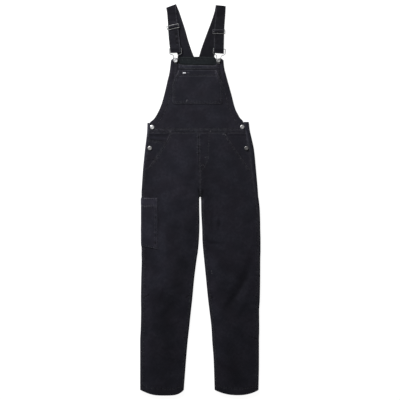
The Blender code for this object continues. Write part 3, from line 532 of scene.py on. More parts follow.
def cut(name, outline, face, wall, seams, step, place=lambda points: points, group="thread_front",
        worn=0.55, edge_drop=0.0, finishes=None, tone=1.0):  # fmt: skip
    """A piece cut to an outline and laid on face(x, y), the height of its outer face, in mm."""
    outline = resample(outline, step, closed=True)
    after = np.roll(outline, -1, 0)
    area = 0.5 * np.sum(outline[:, 0] * after[:, 1] - after[:, 0] * outline[:, 1])
    if area < 0:
        outline = outline[::-1]
    loop = np.vstack([outline, outline[:1]])
    low, high = outline.min(0), outline.max(0)

    def kept(points, margin):
        points = points[inside(*points.T, outline)]
        return points[nearest(*points.T, loop)[0] > margin]

    fill = kept(hexagonal(low, high, step), 1.2 + 0.4 * step)
    extra = [kept(beside(outline, 0.45, True), 0.4), kept(beside(outline, 1.2, True), 1.1)]
    for seam in seams:
        line = resample(seam.line, 3.0)
        extra += [kept(beside(line, shift), 1.6) for shift in (-1.7, 0.0, 1.7)]
        fill = fill[nearest(*fill.T, seam.line)[0] > 2.5]
    top, top_faces, top_ring = triangulate(outline, np.vstack([fill, *extra]))
    coarse = kept(hexagonal(low, high, step * 2.6), 1.2 + step)
    under, under_faces, under_ring = triangulate(outline, np.vstack([coarse, extra[1]]))

    def finished(x, y):
        height, crest, hollow = face(x, y), np.zeros(len(x)), np.zeros(len(x))
        for seam in seams:
            relief, seam_crest, seam_hollow = seam.relief(x, y)
            height, crest, hollow = height + relief, np.maximum(crest, seam_crest), np.maximum(hollow, seam_hollow)
        return height, crest, hollow

    height, crest, hollow = finished(*top.T)
    far, far_under = nearest(*top.T, loop)[0], nearest(*under.T, loop)[0]
    height = height - edge_drop * bump(far, 3.0)
    low_height = finished(*under.T)[0] - edge_drop * bump(far_under, 3.0)
    worn_edge = bump(far, 1.9) * (0.75 + 0.35 * wander(*top.T, 17, 5))
    wear_and_highlight = np.concatenate([worn * np.maximum(worn_edge, crest), np.zeros(len(under))])
    top_z = height - wall / 2 + rim_profile(far, wall) / 2
    under_z = low_height - wall / 2 - rim_profile(far_under, wall) / 2

    verts = np.vstack([np.column_stack([top, top_z]), np.column_stack([under, under_z])])
    shift, count = len(top), len(top_ring)
    faces = top_faces + [[i + shift for i in reversed(f)] for f in under_faces]
    for i in range(count):
        j = (i + 1) % count
        faces.append([top_ring[i], under_ring[i] + shift, under_ring[j] + shift, top_ring[j]])
    back = [0] * len(top_faces) + [1] * len(under_faces) + [0] * count
    # The seams' grooves and pucker troughs are drawn darker: painted shade, partly darker dye.
    tone = tone * np.concatenate([1 - 1.1 * hollow, np.ones(len(under))])
    finishes = finishes or (DENIM, REVERSE)
    made = add_mesh("cloth_" + name, place(verts), faces, verts[:, :2], wear_and_highlight, back, finishes, tone)
    for seam in seams:
        if seam.thread:
            stitch_seam(seam, lambda x, y: finished(x, y)[0], place, group)

    dress(made, [name])
    size = np.maximum((high - low) * MM, 0.01)  # each side taken as at least 10 mm
    area = float(min(abs(area) * MM * MM, size[0] * size[1]))
    return made


def grid_normals(points):
    normal = np.cross(np.gradient(points, axis=1), np.gradient(points, axis=0))
    return normal / np.maximum(np.linalg.norm(normal, axis=-1, keepdims=True), 1e-9)


def path_length(points, axis):
    """Running length along one axis of a grid of points."""
    step = np.linalg.norm(np.diff(points, axis=axis), axis=-1)
    pad = np.zeros_like(np.take(step, [0], axis))
    return np.concatenate([pad, np.cumsum(step, axis=axis)], axis)


def shell(name, mid, normal, thickness, wear_and_highlight, uv=None, finishes=None, tone=1.0, under_wear=0.0):
    """A closed thin piece about a grid of middle points. thickness is a grid of full thicknesses."""
    rows, columns = mid.shape[:2]
    offset = normal * thickness[..., None] / 2
    outer, under = (mid + offset).reshape(-1, 3), (mid - offset).reshape(-1, 3)
    index = np.arange(rows * columns).reshape(rows, columns)
    a, b, c, d = index[:-1, :-1], index[:-1, 1:], index[1:, 1:], index[1:, :-1]
    outside = np.stack([a, b, c, d], -1).reshape(-1, 4)
    underside = outside[:, ::-1] + rows * columns
    border = np.concatenate([index[0, :], index[1:, -1], index[-1, -2::-1], index[-2:0:-1, 0]])
    after = np.roll(border, -1)
    rim = np.stack([border, border + rows * columns, after + rows * columns, after], -1)
    run, down = path_length(mid, 1), path_length(mid, 0)
    uv = np.tile((np.stack([run, down], -1) if uv is None else uv).reshape(-1, 2), (2, 1))
    worn = np.concatenate([wear_and_highlight.ravel(), wear_and_highlight.ravel() * under_wear])
    back = np.repeat([0, 1, 0], [len(outside), len(underside), len(rim)])
    faces = np.vstack([outside, underside, rim]).tolist()
    finishes = finishes or (DENIM, REVERSE)
    made = add_mesh("cloth_" + name, np.vstack([outer, under]), faces, uv, worn, back, finishes, tone)
    dress(made, [name])
    across, along = np.linalg.norm(np.diff(mid, axis=1), axis=-1), np.linalg.norm(np.diff(mid, axis=0), axis=-1)


# ---------------------------------------------------------------------------------------- finishes


class Finish:
    """A material put together from shader nodes. An input is a value, or another node's output."""

    def __init__(self, name):
        self.material = bpy.data.materials.new(name)
        self.material.use_nodes = True
        self.tree = self.material.node_tree

    def feed(self, node, inputs):
        for key, value in inputs.items():
            socket = node.inputs[key]
            if isinstance(value, bpy.types.NodeSocket):
                self.tree.links.new(value, socket)
            else:
                socket.default_value = (*value, 1) if socket.type == "RGBA" else value

    def done(self, inputs):
        self.feed(self.tree.nodes["Principled BSDF"], inputs)
        return self.material

    def node(self, kind, inputs=None, **settings):
        made = self.tree.nodes.new("ShaderNode" + kind)
        for key, value in settings.items():
            setattr(made, key, value)
        self.feed(made, inputs or {})
        return made.outputs

    def mix(self, factor, a, b):
        return self.node("Mix", {0: factor, 6: a, 7: b}, data_type="RGBA")[2]

    def spread(self, value, low, high, to_low=0.0, to_high=1.0):
        inputs = {0: value, 1: low, 2: high, 3: to_low, 4: to_high}
        return self.node("MapRange", inputs, interpolation_type="SMOOTHSTEP")[0]

    def times(self, a, b, operation="MULTIPLY"):
        return self.node("Math", {0: a, 1: b}, operation=operation)[0]

    def plus(self, a, b):
        return self.times(a, b, "ADD")

    def noise(self, vector, scale, detail=3.0, roughness=0.55):
        return self.node("TexNoise", {"Vector": vector, "Scale": scale, "Detail": detail, "Roughness": roughness})[0]

    def scaled(self, vector, x, y, turn=0.0):
        return self.node("Mapping", {"Vector": vector, "Rotation": (0, 0, turn), "Scale": (x, y, 1)})[0]

    def wave(self, vector, pace, distortion, turn=0.0, detail=2.0):
        inputs = {"Vector": self.scaled(vector, pace, pace, turn), "Scale": 1.0, "Distortion": distortion}
        return self.node("TexWave", {**inputs, "Detail": detail})[1]

    def bumps(self, height, strength, distance):
        return self.node("Bump", {"Height": height, "Strength": strength, "Distance": distance})[0]


def twill(name, dark, mid, worn, steep=1.07):
    """Washed denim: diagonal twill, slubbed warp, soft mottling, and paler where the cloth has rubbed.

    The wear attribute also carries painted highlights, and the fade attribute painted light and shade.
    """
    made = Finish(name)
    mix, spread, times, plus, noise, scaled = made.mix, made.spread, made.times, made.plus, made.noise, made.scaled
    cloth = made.node("UVMap", uv_map="cloth")[0]
    rib = made.wave(cloth, 350, 0.6, steep, detail=1.0)
    yarn = made.wave(cloth, 560, 0.8, detail=1.0)
    slub = noise(scaled(cloth, 1300, 60), 1.0, 2.0)
    fuzz = noise(scaled(cloth, 2600, 1700), 1.0, 2.0)
    cloud = noise(cloth, 17.0, 4.0, 0.5)
    wash = noise(cloth, 95.0, 4.0, 0.6)
    # wear pales the cloth: rubbed wear, with painted highlights on the straps and the bib's top band; fade scales its
    # colour, with washed fading and painted light and shade.
    wear_and_highlight, fade = (made.node("Attribute", attribute_name=kind)[2] for kind in ("wear_and_highlight", "fade"))
    tone = times(spread(cloud, 0.36, 0.66), spread(wash, 0.30, 0.72, 0.35, 1.0))
    tone = times(tone, spread(slub, 0.30, 0.75, 0.45, 1.0))
    thread_tone = times(spread(rib, 0.15, 0.85, 0.55, 1.0), spread(fuzz, 0.25, 0.75, 0.75, 1.0))
    patchy = times(wear_and_highlight, spread(wash, 0.34, 0.62, 0.45, 1.0))
    rubbed = mix(times(patchy, thread_tone), mix(times(tone, thread_tone), dark, mid), worn)
    tint = spread(noise(cloth, 11.0, 2.0, 0.5), 0.35, 0.65, 0.485, 0.515)
    weave = plus(times(rib, 0.6), plus(times(yarn, 0.25), times(slub, 0.5)))
    return made.done({
        "Base Color": made.node("HueSaturation", {"Hue": tint, "Value": fade, "Color": rubbed})[0],
        "Roughness": spread(wash, 0.3, 0.7, 0.92, 0.80),
        "Specular IOR Level": 0.12,
        "Sheen Weight": 0.04,
        "Sheen Roughness": 0.45,
        "Sheen Tint": (0.70, 0.72, 0.85),
        "Normal": made.bumps(plus(weave, times(wash, 0.8)), 0.55, 0.00022),
    })  # fmt: skip


def thread_finish(name, dark, light):
    made = Finish(name)
    place = made.node("TexCoord")["Object"]
    strand = made.wave(place, 700, 1.0, 0.6)
    faded = made.spread(made.noise(place, 140.0), 0.35, 0.68)
    color = made.mix(made.times(faded, made.spread(strand, 0.1, 0.9, 0.5, 1.0)), dark, light)
    surface = {"Roughness": 0.55, "Specular IOR Level": 0.35, "Sheen Weight": 0.15}
    return made.done({"Base Color": color, **surface, "Normal": made.bumps(strand, 0.5, 0.0001)})


def metal(name, bright, dull, rough):
    """Plated metal with fine brushing and a little tarnish in patches. bright and dull are its colours."""
    made = Finish(name)
    place = made.node("TexCoord")["Object"]
    tarnish = made.noise(place, 260.0, 4.0, 0.6)
    brushed = made.noise(made.scaled(place, 90, 900), 6.0, 2.0)
    return made.done({
        "Base Color": made.mix(made.spread(tarnish, 0.42, 0.70), bright, dull),
        "Metallic": 1.0,
        "Roughness": made.spread(made.plus(tarnish, brushed), 0.7, 1.3, rough - 0.07, rough + 0.10),
        "Normal": made.bumps(brushed, 0.12, 0.0001),
    })  # fmt: skip


def tape_finish(name):
    """Plain satin-woven tape."""
    made = Finish(name)
    cloth = made.node("UVMap", uv_map="cloth")[0]
    weave = made.plus(made.wave(cloth, 900, 0.3, math.pi / 2), made.times(made.wave(cloth, 1250, 0.3), 0.6))
    soiled = made.noise(cloth, 160.0)
    shade = made.times(made.spread(weave, 0.2, 1.3, 0.55, 1.0), made.spread(soiled, 0.3, 0.7, 0.8, 1.0))
    color = made.mix(shade, (0.30, 0.30, 0.32), (0.62, 0.62, 0.66))
    surface = {"Roughness": 0.6, "Sheen Weight": 0.2}
    return made.done({"Base Color": color, **surface, "Normal": made.bumps(weave, 0.5, 0.0002)})


# -------------------------------------------------------------------------------------------- front


def mouth_line(side, shift=0.0, steps=40):
    """The slanted pocket mouth, moved towards the garment's middle by shift, from the waist down."""
    top, bend, bottom = (np.array(point, float) for point in POCKET_MOUTH[side])
    t = np.linspace(0, 1, steps)[:, None]
    line = (1 - t) ** 2 * top + 2 * t * (1 - t) * bend + t * t * bottom
    line[:, 0] += inward(side) * shift
    return line


def column(at, low, high, step=4.0):
    """Points (at(y), y) from low to high."""
    ys = np.linspace(low, high, max(2, math.ceil((high - low) / step)))
    return np.column_stack([at(ys), ys])


def by_side_seam(side, inset, low, high, step=4.0):
    """A line that follows the side seam at an inset from it."""
    return column(lambda y: side_seam(side, y) + inward(side) * inset, low, high, step)


def hung(side, points):
    """A leg's points drawn down to its hanging hem."""
    points = points.copy()
    points[:, 1] -= hem_drop(side, points[:, 0], points[:, 1])
    return points


DARTS = (  # short sewn tucks at the knees: x0, y0, x1, y1
    (-229, -392, -206, -380), (-41, -380, -56, -390), (-53, -548, -66, -553),
    (214, -384, 232, -392), (38, -386, 52, -392), (198, -548, 230, -556),
)  # fmt: skip
# Tacks on the left front, at the fly, the pocket's mouth and the thigh: both ends
LEG_TACKS = (((16, 169.8), (33, 170.5)), ((2, 137.5), (15, 138.5)), ((88, 264), (106, 257)), ((44, -280), (46, -296)))


def leg_front(side):
    """One front panel from the waist to the hem, with the hip's corner cut away for the pocket."""
    way = inward(side)
    low, high = HEM + 8, WAIST_SEAM_BOTTOM - 2 * JOIN
    mouth = mouth_line(side, SEAM_GAP)
    mouth[0, 1] = high
    meet = mouth[-1, 1]
    outer = by_side_seam(side, SEAM_GAP / 2, HEM, meet)
    inner = column(lambda y: inseam(side, y), HEM, high)
    hem = [(side_seam(side, HEM) + way * 2, HEM_STITCH), (LEGS("inner_" + side, HEM) - way * 9, HEM_STITCH)]
    seams = [
        Seam(by_side_seam(side, 4.2, low, meet - 12, 12), groove=0.4, pucker=0.3),
        Seam(column(lambda y: inseam(side, y, 2.8), low, CROTCH - 30, 12), groove=0.4, pucker=0.3),
        *(Seam(between(mouth_line(side, shift), meet + 2, high - 2), pucker=0.3) for shift in (EDGE_STITCH, 9.0)),
        Seam(hem, 8, groove=0.45, pucker=0.35),
    ]
    if side == "r":
        seams.append(Seam(column(lambda y: LEGS("inner_r", y) - 6.4, 176, high - 2, 12), groove=0.4, pucker=0.34))
    else:
        center = column(lambda y: LEGS("inner_l", y) + 3, CROTCH + 4, high - 2, 12)
        fly = soften([(33.8, high - 2), (33.6, 230), (32, 190), (26, 152), (15, 128), (-0.5, 113)], 3)
        seams += [Seam(center, groove=0.3, pucker=0.28), Seam(fly, groove=0.3, pucker=0.25)]
        seams += [tack(ends, 4, 2.0, groove=0.3) for ends in LEG_TACKS]
    for x0, y0, x1, y1 in DARTS:
        if (x0 < 0) == (side == "r"):
            seams.append(Seam([(x0, y0), (x1, y1)], 6, groove=0.9, pucker=0.3, thread=False))

    def face(x, y):
        roping = 0.25 * np.sin((x * 0.85 + y) * 2 * math.pi / 12.5) * bump(y - HEM - 10, 9)
        hem_ridge = 0.55 * np.clip((HEM_STITCH + 1 - y) / 2.5, 0, 1) + roping
        from_seam, from_inner = np.abs(x - side_seam(side, y)), np.abs(x - inseam(side, y))
        allowance = 0.45 * ease((11 - from_seam) / 3) + 0.4 * ease((9 - from_inner) / 3)
        center = 0.35 * ease((15 - from_inner) / 3) * ease((y - 20) / 20)
        return front(x, y) + hem_ridge + np.minimum(allowance, 0.6) + center

    outline = np.vstack([mouth[:-1], outer[::-1], inner])
    cut("leg_front_" + side, outline, face, CLOTH, seams, 3.6, lambda points: hung(side, points))


def pocket_facing(side):
    """Cloth that shows in the hip pocket's mouth, with the side opening's topstitched edge."""
    high = WAIST_SEAM_BOTTOM - SEAM_GAP
    under = mouth_line(side, 12)
    under[0, 1] = high
    bottom = under[-1, 1] - 14
    outer = by_side_seam(side, SEAM_GAP / 2, bottom, high)
    outline = np.vstack([under[:-1], [(under[-1, 0], bottom)], outer])
    drop, mouth_x = CLOTH + SEAM_GAP, {"r": -128, "l": 108}[side]

    def face(x, y):
        """Drawn up level with the waistband that it is sewn to, clear of the front's own edge."""
        drawn_up = ease((y - high + 13) / 12) * ease(inward(side) * (mouth_x - x) / 4)
        return front(x, y) - drop + (drop + 0.3) * drawn_up

    seams = [Seam(by_side_seam(side, 3, 190, high - 2, 10), pucker=0.2)]
    cut("pocket_facing_" + side, outline, face, CLOTH, seams, 3.0)


def coin_pocket():
    low, high, rise = 158, 243, FACING - (CLOTH + SEAM_GAP - LAYER_GAP)
    mouth = [(-185, 238.5), (-172, 236), (-160, 234)]
    edge = between(mouth_line("r", -0.8), low, 232)
    topstitching = ([(-212, 239.5), (-185, 235.5), (-160, 231.2)], [(-212, 234), (-185, 230), (-158, 225.8)])
    seams = [Seam(line, 6, pucker=0.12) for line in topstitching]
    outline = np.vstack([by_side_seam("r", 2, low, high), mouth, edge])
    cut("coin_pocket_r", outline, lambda x, y: front(x, y) + rise, FACING, seams, 2.6)


BIB_EARS = {  # the bib's two upper corners, from the wearer's right to the left
    "r": [(-110, 564), (-106, 567.5), (-100, 568.5), (-93, 567.5), (-89.5, 562), (-88, 552), (-85, 544.2),
          (-78, 540.4)],
    "l": [(56, 536.8), (63, 540), (66, 548), (67.5, 558), (71, 564.5), (77, 566.5), (83, 566), (87, 563)],
}  # fmt: skip
WAIST_TACKS, BIB_POCKET_TACKS = (-124, -118, 39.6), (-55.4, -51.4)  # where they stand along X
BIB_POCKET_SLANT = {"left": 22, "right": -24}  # how far each side has leant in at the pocket's top


def bib_top_edge():
    """Top of the bib from its ear at -X to the one at +X: ears up, a shallow scoop between them."""
    x = np.array([-60, -35, -10, 15, 40])
    scoop = np.column_stack([x, 538.8 - 0.016 * (x + 60) + 0.8 * np.cos(math.pi * (x + 10) / 140)])
    return np.array([*BIB_EARS["r"], *scoop, *BIB_EARS["l"]], float)


def bib_face(x, y):
    """The bib's face, thicker along the turned facing at both sides."""
    from_side = np.minimum(x - BIB("left", y), BIB("right", y) - x)
    return front(x, y) + 0.45 * ease((24.5 - from_side) / 3) * ease((y - 330) / 20)


def on_bib(rise):
    """The outer face of a piece that stands off the bib's face by rise."""
    return lambda x, y: bib_face(x, y) + rise


def bib_front():
    ys = np.concatenate([np.linspace(312, 343, 14), np.linspace(350, 560, 50)])
    wing = {side: by_side_seam(side, SEAM_GAP / 2, WAIST_SEAM_TOP, 305, 6) for side in SIDES}
    left, right = (np.column_stack([BIB(edge, ys), ys]) for edge in ("left", "right"))
    outline = np.vstack([wing["r"], left, soften(bib_top_edge()), right[::-1], wing["l"][::-1]])
    seams = []
    for edge, way in ((left, -1), (right, 1)):
        seams.append(Seam(between(beside(soften(edge[::3], 1), 23 * way), 292, 548), groove=0.45, pucker=0.3))
        seams.append(Seam(beside(edge[::3], EDGE_STITCH * way)[1:-1], groove=0.3, pucker=0.18))
    seams.append(Seam([(-186, 284.6), (170, 284.6)], 12, pucker=0.25))
    cut("bib_front", outline, bib_face, CLOTH, seams, 3.0)


def waistband():
    high, low, rise = WAIST_SEAM_TOP - 2 * JOIN, WAIST_SEAM_BOTTOM, 0.6
    sides = {side: by_side_seam(side, SEAM_GAP / 2, low, high, 3) for side in SIDES}
    left, right = side_seam("r", low) + 3, side_seam("l", low) - 3
    rows = (low + EDGE_STITCH, high - EDGE_STITCH)
    seams = [Seam([(left, y), (right, y)], 12, groove=0.4, pucker=0.36) for y in rows]
    seams += [tack([(x, low + 1.5), (x + 2, high - 1.5)], 3, 1.6) for x in WAIST_TACKS]
    outline = np.vstack([sides["l"][::-1], sides["r"]])
    cut("waistband_front", outline, lambda x, y: front(x, y) + rise, CLOTH + rise, seams, 2.6)


def bib_top_band():
    low = 523.5
    edge = soften(bib_top_edge(), 1)
    edge = edge[(edge[:, 0] > -88.5) & (edge[:, 0] < 64) & (edge[:, 1] < 549)] - (0, 0.5)
    bottom = [(65, low), (20, low - 1), (-30, low - 1), (-86, low)]
    lower_line = [(-84, low + EDGE_STITCH), (-30, low + 1.6), (20, low + 1.6), (63, low + EDGE_STITCH)]
    upper_line = [(-80, 536.8), (-35, 537), (15, 536.8), (60, 535.2)]
    seams = [Seam(lower_line, 10, pucker=0.22), Seam(upper_line, 10, pucker=0.12)]
    face, outline = on_bib(LAYER_GAP + FACING), np.vstack([edge, bottom])
    # The band is drawn paler and its edges and crests paler still: wear, with a painted highlight along its folded
    # top edge.
    cut("bib_top_band", outline, face, FACING, seams, 2.4, worn=0.9, edge_drop=0.15, tone=1.2)


def bib_pocket_side(edge, y):
    """X of the bib pocket's left or right side, which leans in between "wide" and "top"."""
    size = BIB_POCKET
    return size[edge] + BIB_POCKET_SLANT[edge] * (y - size["wide"]) / (size["top"] - size["wide"])


def bib_pocket_sides(inset, top):
    """The patch pocket's outline from its left top corner down and round to the right one."""
    size, radius, turn = BIB_POCKET, max(1.0, 8 - inset), np.radians(np.linspace(0, 90, 6))
    bottom = size["bottom"] + inset + radius * (1 - np.sin(turn))
    sides = []
    for edge, way in (("left", 1), ("right", -1)):
        corner = np.column_stack([size[edge] + way * (inset + radius * (1 - np.cos(turn))), bottom])
        slant = [(bib_pocket_side(edge, y) + way * inset, y) for y in (top, size["wide"])]
        sides.append(np.vstack([slant, corner]))
    return np.vstack([sides[0], sides[1][::-1]])


def bib_pocket():
    top = BIB_POCKET["band"] - SEAM_GAP
    seams = [Seam(bib_pocket_sides(inset, top - 1), 5, pucker=0.22) for inset in (EDGE_STITCH, 8.6)]
    seams += [tack([(x, 403), (x, 389)], 3, 1.6) for x in BIB_POCKET_TACKS]
    outline = resample(bib_pocket_sides(0, top), 5)
    cut("bib_pocket", outline, on_bib(LAYER_GAP + PATCH), PATCH, seams, 3.0, worn=0.6, edge_drop=0.2)


def bib_pocket_band():
    low, high = BIB_POCKET["band"], BIB_POCKET["top"]
    left, right = bib_pocket_side("left", low), bib_pocket_side("right", low)
    ends = ((left + 4, -85, True), (left + 10, -79, False), (right - 4, 61, True), (right - 10, 55, False))
    seams = [Seam([(left + 3, low + 2.8), (right - 3, low + 2.8)], 12, pucker=0.22)]
    seams += [tack([(x, low + 2), (top_x, high - 2)], 4, 2.4, pale=pale) for x, top_x, pale in ends]
    seams.append(tack([(-54, 509.5), (-43, 507)], 2, 1.8))
    outline = [(-89, high), (65, high), (right, low), (left, low)]
    cut("bib_pocket_band", outline, on_bib(LAYER_GAP + BAND), BAND, seams, 2.6, worn=0.6, edge_drop=0.2)


def pocket_label():
    """Plain woven tab with nothing on it, sewn down at both ends."""
    left, right, low, high = LABEL
    outline = [(left, low), (right, low), (right, high), (left, high)]
    ends = [[(x, low + 0.8), (x, high - 0.8)] for x in (left + 1.5, right - 1.5)]
    seams = [Seam(end, 2, pucker=0.05, pitch=2.2) for end in ends]
    look = {"group": "thread_label", "worn": 0.0, "edge_drop": 0.15, "finishes": (TAPE, TAPE)}
    made = cut("pocket_label", outline, on_bib(2 * LAYER_GAP + BAND + TAB), TAB, seams, 1.4, **look)


# ------------------------------------------------------------------------------------- back, thigh


def spaced(*stops):
    """Stations through (value, step to the next stop) pairs, ending at the last value."""
    out = []
    for (a, step), (b, _) in zip(stops, stops[1:]):
        out.append(np.linspace(a, b, max(1, round(abs(b - a) / step)), endpoint=False))
    return np.concatenate([*out, [stops[-1][0]]])


def leg_back(side):
    """One back panel: from the side seam over the folded edge, along the floor and round to the inseam."""
    way, top = inward(side), WAIST_SEAM_TOP
    near_hem, near_waist = [HEM, HEM + 0.6, HEM + 1.6], [top - 0.4, top + 0.6, top + 1.2]
    ys = np.concatenate([near_hem, np.arange(HEM + 4, top - 3, 4.0), near_waist])
    at_side = raised(side, ys)
    edge_reach = spaced((CURL, 0.9), (-CURL, 0.9))
    seam = seam_inset(side, at_side) - SEAM_GAP / 2
    shares = np.concatenate([[1.0, 0.94], spaced((1.0, 0.34), (0.0, 1))[1:-1]])
    reaches = [CURL + (seam - CURL) * share for share in shares] + [np.full(len(ys), r) for r in edge_reach]
    columns = [leg_skin(side, at_side, "outer", reach)[0] for reach in reaches]

    split = split_below_crotch(ys)[:, None]
    center = LEGS("inner_" + side, ys) - way * SEAM_GAP / 2 + 1.6  # beside the front's seam, not under it
    turn = np.concatenate([edge_reach[::-1], [INSEAM_INSET - 0.6, INSEAM_INSET - 0.15]])
    first_turn = []
    for k, reach in enumerate(turn):
        folded = leg_skin(side, ys, "inner", np.full(len(ys), reach))[0]
        flat = np.column_stack([center - way * 0.95 * (len(turn) - 1 - k), ys, np.zeros(len(ys))])
        first_turn.append(folded * split + flat * (1 - split))
    last_outer = columns[-1]
    for share in np.linspace(0, 1, 52)[1:-1]:
        lean = ease(share * 1.6)
        point = last_outer * (1 - share) + first_turn[0] * share
        x, y = point[:, 0], at_side * (1 - lean) + ys * lean
        reach = -np.abs(x - LEGS("outer_" + side, y))
        skin = leg_skin(side, y, "outer", np.minimum(reach, -CURL))[0]
        rise = np.maximum(crease_height(BACK_CREASES, x, y), 0) + np.maximum(0.5 * wander(x, y, 60, 9), 0)
        columns.append(np.column_stack([x, y, skin[:, 2] + rise * ease(share * 8) * ease((1 - share) * 8)]))
    face = np.stack(columns + first_turn, 1)
    drop = hem_drop(side, face[..., 0], face[..., 1])
    if side == "l":
        face, drop = face[:, ::-1], drop[:, ::-1]

    run = path_length(face, 1)
    from_sides = np.minimum(run, run[:, -1:] - run)
    from_ends = np.minimum(face[..., 1] - HEM, (ys[-1] - ys)[:, None])
    from_seam = run if side == "r" else run[:, -1:] - run
    normal = -grid_normals(face)
    hem_line, seam_line = bump(face[..., 1] - HEM_STITCH, 1.6), bump(from_seam - 5, 1.6)
    ripple = 0.28 * np.sin(run * 2 * math.pi / 12.0) * bump(face[..., 1] - HEM - 11, 8)
    mid = face - normal * (CLOTH / 2 + 0.3 * hem_line)[..., None]
    mid[..., 2] += np.where(face[..., 2] < 0.4, 0, ripple)
    mid[..., 1] -= drop
    mid[..., 2] = np.maximum(mid[..., 2], CLOTH / 2)
    thickness = rim_profile(np.minimum(from_sides, from_ends), CLOTH)
    wear_and_highlight = 0.5 * bump(from_ends, 1.8) + 0.35 * bump(from_sides, 1.8) + 0.2 * hem_line + 0.15 * seam_line
    shell("leg_back_" + side, mid, normal, thickness, wear_and_highlight, uv=np.stack([run, face[..., 1]], -1))

    skin = mid + normal * CLOTH / 2
    at_hem, above = np.argmin(np.abs(ys - HEM_STITCH)), ys > CROTCH + 8
    near_center = {"r": -4, "l": 3}[side]
    stitch_along(skin[at_hem], normal[at_hem])
    stitch_along(skin[above, near_center], normal[above, near_center])


def tool_pocket(name, top, bottom_at, rows_at, columns_at, worn, tone):
    """Patch folded round the right thigh's outer edge, from its rear on the underside to its front."""
    rear, ahead = -TOOL_POCKET["rear"], TOOL_POCKET["front"]
    reaches = spaced((rear, 3.4), (-CURL, 0.9), (CURL, 3.0), (ahead, 1))
    near_rear, near_front = [rear, rear + 0.6, rear + 1.6], [ahead - 1.6, ahead - 0.6, ahead]
    reaches = np.concatenate([near_rear, reaches[1:-1], near_front])
    height = abs(bottom_at(0) - top)
    rim_at = np.array([0, 0.6, 1.6]) / height
    inner = np.linspace(4 / height, 1 - 4 / height, max(4, round(height / 3.2)))
    share = np.concatenate([rim_at, inner, 1 - rim_at[::-1]])
    y = top + (bottom_at(reaches)[None, :] - top) * share[:, None]
    reach = np.broadcast_to(reaches, y.shape)
    point, out = leg_skin("r", y, "outer", reach)
    run, down = path_length(point, 1), path_length(point, 0)
    from_sides, from_ends = np.minimum(run, run[:, -1:] - run), np.minimum(down, down[-1:] - down)
    edge = np.minimum(from_sides, from_ends)
    swell = 0.5 * ease((edge - 12) / 30) * (0.6 + 0.4 * wander(run, down, 46, 21))
    pucker = 0.24 * np.sin(run * 2 * math.pi / 9.4) * bump(from_ends - 4, 4)
    pucker = pucker + 0.26 * wander(0.3 * run, down, 15, 31) * bump(from_sides - 9, 5)
    level = np.where(out[..., 2] < -0.5, 0.0, 1.0)
    lift = LAYER_GAP + PATCH / 2 + (swell + pucker - 0.15 * bump(edge, 2.5)) * level
    mid = point + out * lift[..., None]
    mid[..., 2] = np.maximum(mid[..., 2], PATCH / 2)
    to_front = 1 - 0.7 * ease((reach - 22) / 30)
    rim = worn * np.maximum(to_front * bump(from_ends, 2.4), 0.12 * bump(from_sides, 2.0))
    wear_and_highlight = rim * (0.7 + 0.3 * wander(run, down, 15, 4)) + 0.25 * bump(reach, 5) + np.clip(0.6 * pucker, 0, 0.3)
    # Pucker troughs are drawn darker: painted shade.
    tone = tone * np.tile((1 - np.clip(-2.4 * pucker, 0, 0.55)).ravel(), 2)
    shell(name, mid, out, rim_profile(edge, PATCH), wear_and_highlight, tone=tone)
    skin = mid + out * PATCH / 2
    for row in rows_at:
        at = np.argmin(np.abs(y[:, 0] - row))
        stitch_along(skin[at], out[at], group="thread_front")
    for column_reach in columns_at:
        at = np.argmin(np.abs(reaches - column_reach))
        stitch_along(skin[:, at], out[:, at], group="thread_front")


def tool_pockets():
    size = TOOL_POCKET
    rear, ahead, band = -size["rear"], size["front"], size["band"]

    def bottom(reach):
        return size["bottom"] + (size["corner"] - size["bottom"]) * np.clip(np.asarray(reach, float) / ahead, 0, 1)

    columns_at = (ahead - 3.4, ahead - 12.5, rear + 3.4)
    tool_pocket("tool_pocket_r", band - SEAM_GAP, bottom, (), columns_at, 0.5, 1.35)
    rows_at = (band + 4.0, size["top"] - EDGE_STITCH)
    band_bottom = lambda reach: np.full(np.shape(reach), float(band))
    tool_pocket("tool_pocket_band_r", size["top"], band_bottom, rows_at, columns_at[:1], 0.95, 1.95)
    for shift in (3.0, 9.0):
        reaches = np.linspace(rear + 3, ahead - 3, 90)
        point, out = leg_skin("r", bottom(reaches) + shift, "outer", reaches)
        lift = LAYER_GAP + PATCH + np.where(out[:, 2] < -0.5, 0.0, 0.05)
        stitch_along(point + out * lift[:, None], out, group="thread_front", lift=0.0)


BACK_BIB = Table(
    "y left right",
    (BACK_BIB_TOP, -90, 57), (567, -91, 59.5), (562, -92, 71), (519, -104, 78), (439, -127, 100), (360, -160, 140),
    (312, -186, 166),
)  # fmt: skip


def bib_back():
    """The back above the waist. Its inside shows between the straps, over the front bib's scoop."""
    top = BACK_BIB_TOP
    ys = np.linspace(312, top, 70)
    bottom = [(-190, 304), (-178, 297), (-118, 282.6), (0, 282.3), (101, 282.6), (160, 297), (173, 304)]
    left, right = (np.column_stack([BACK_BIB(edge, ys), ys]) for edge in ("left", "right"))
    seams = [Seam([(-87, top - at), (53, top - at)], 10, groove=0.3, pucker=0.2) for at in (3, 12)]
    # A groove with no thread, darkened as the painted shadow of the front bib's top edge on the back's inside.
    shaded = [(-86, 543.2), (-60, 542.2), (0, 541.2), (62, 539.2)]  # along the front bib's scoop
    seams.append(Seam(shaded, 8, groove=0.85, pucker=0.0, thread=False))

    def face(x, y):
        return CLOTH + 0.35 * ease((y - top + 14) / 4) + np.maximum(0.25 * wander(x, y, 50, 12), -0.1)

    outline = np.vstack([soften(bottom, 1), right, left[::-1]])
    cut("bib_back", outline, face, CLOTH, seams, 4.2, group="thread_back", finishes=(REVERSE, DENIM))


# ------------------------------------------------------------------------------------------- straps

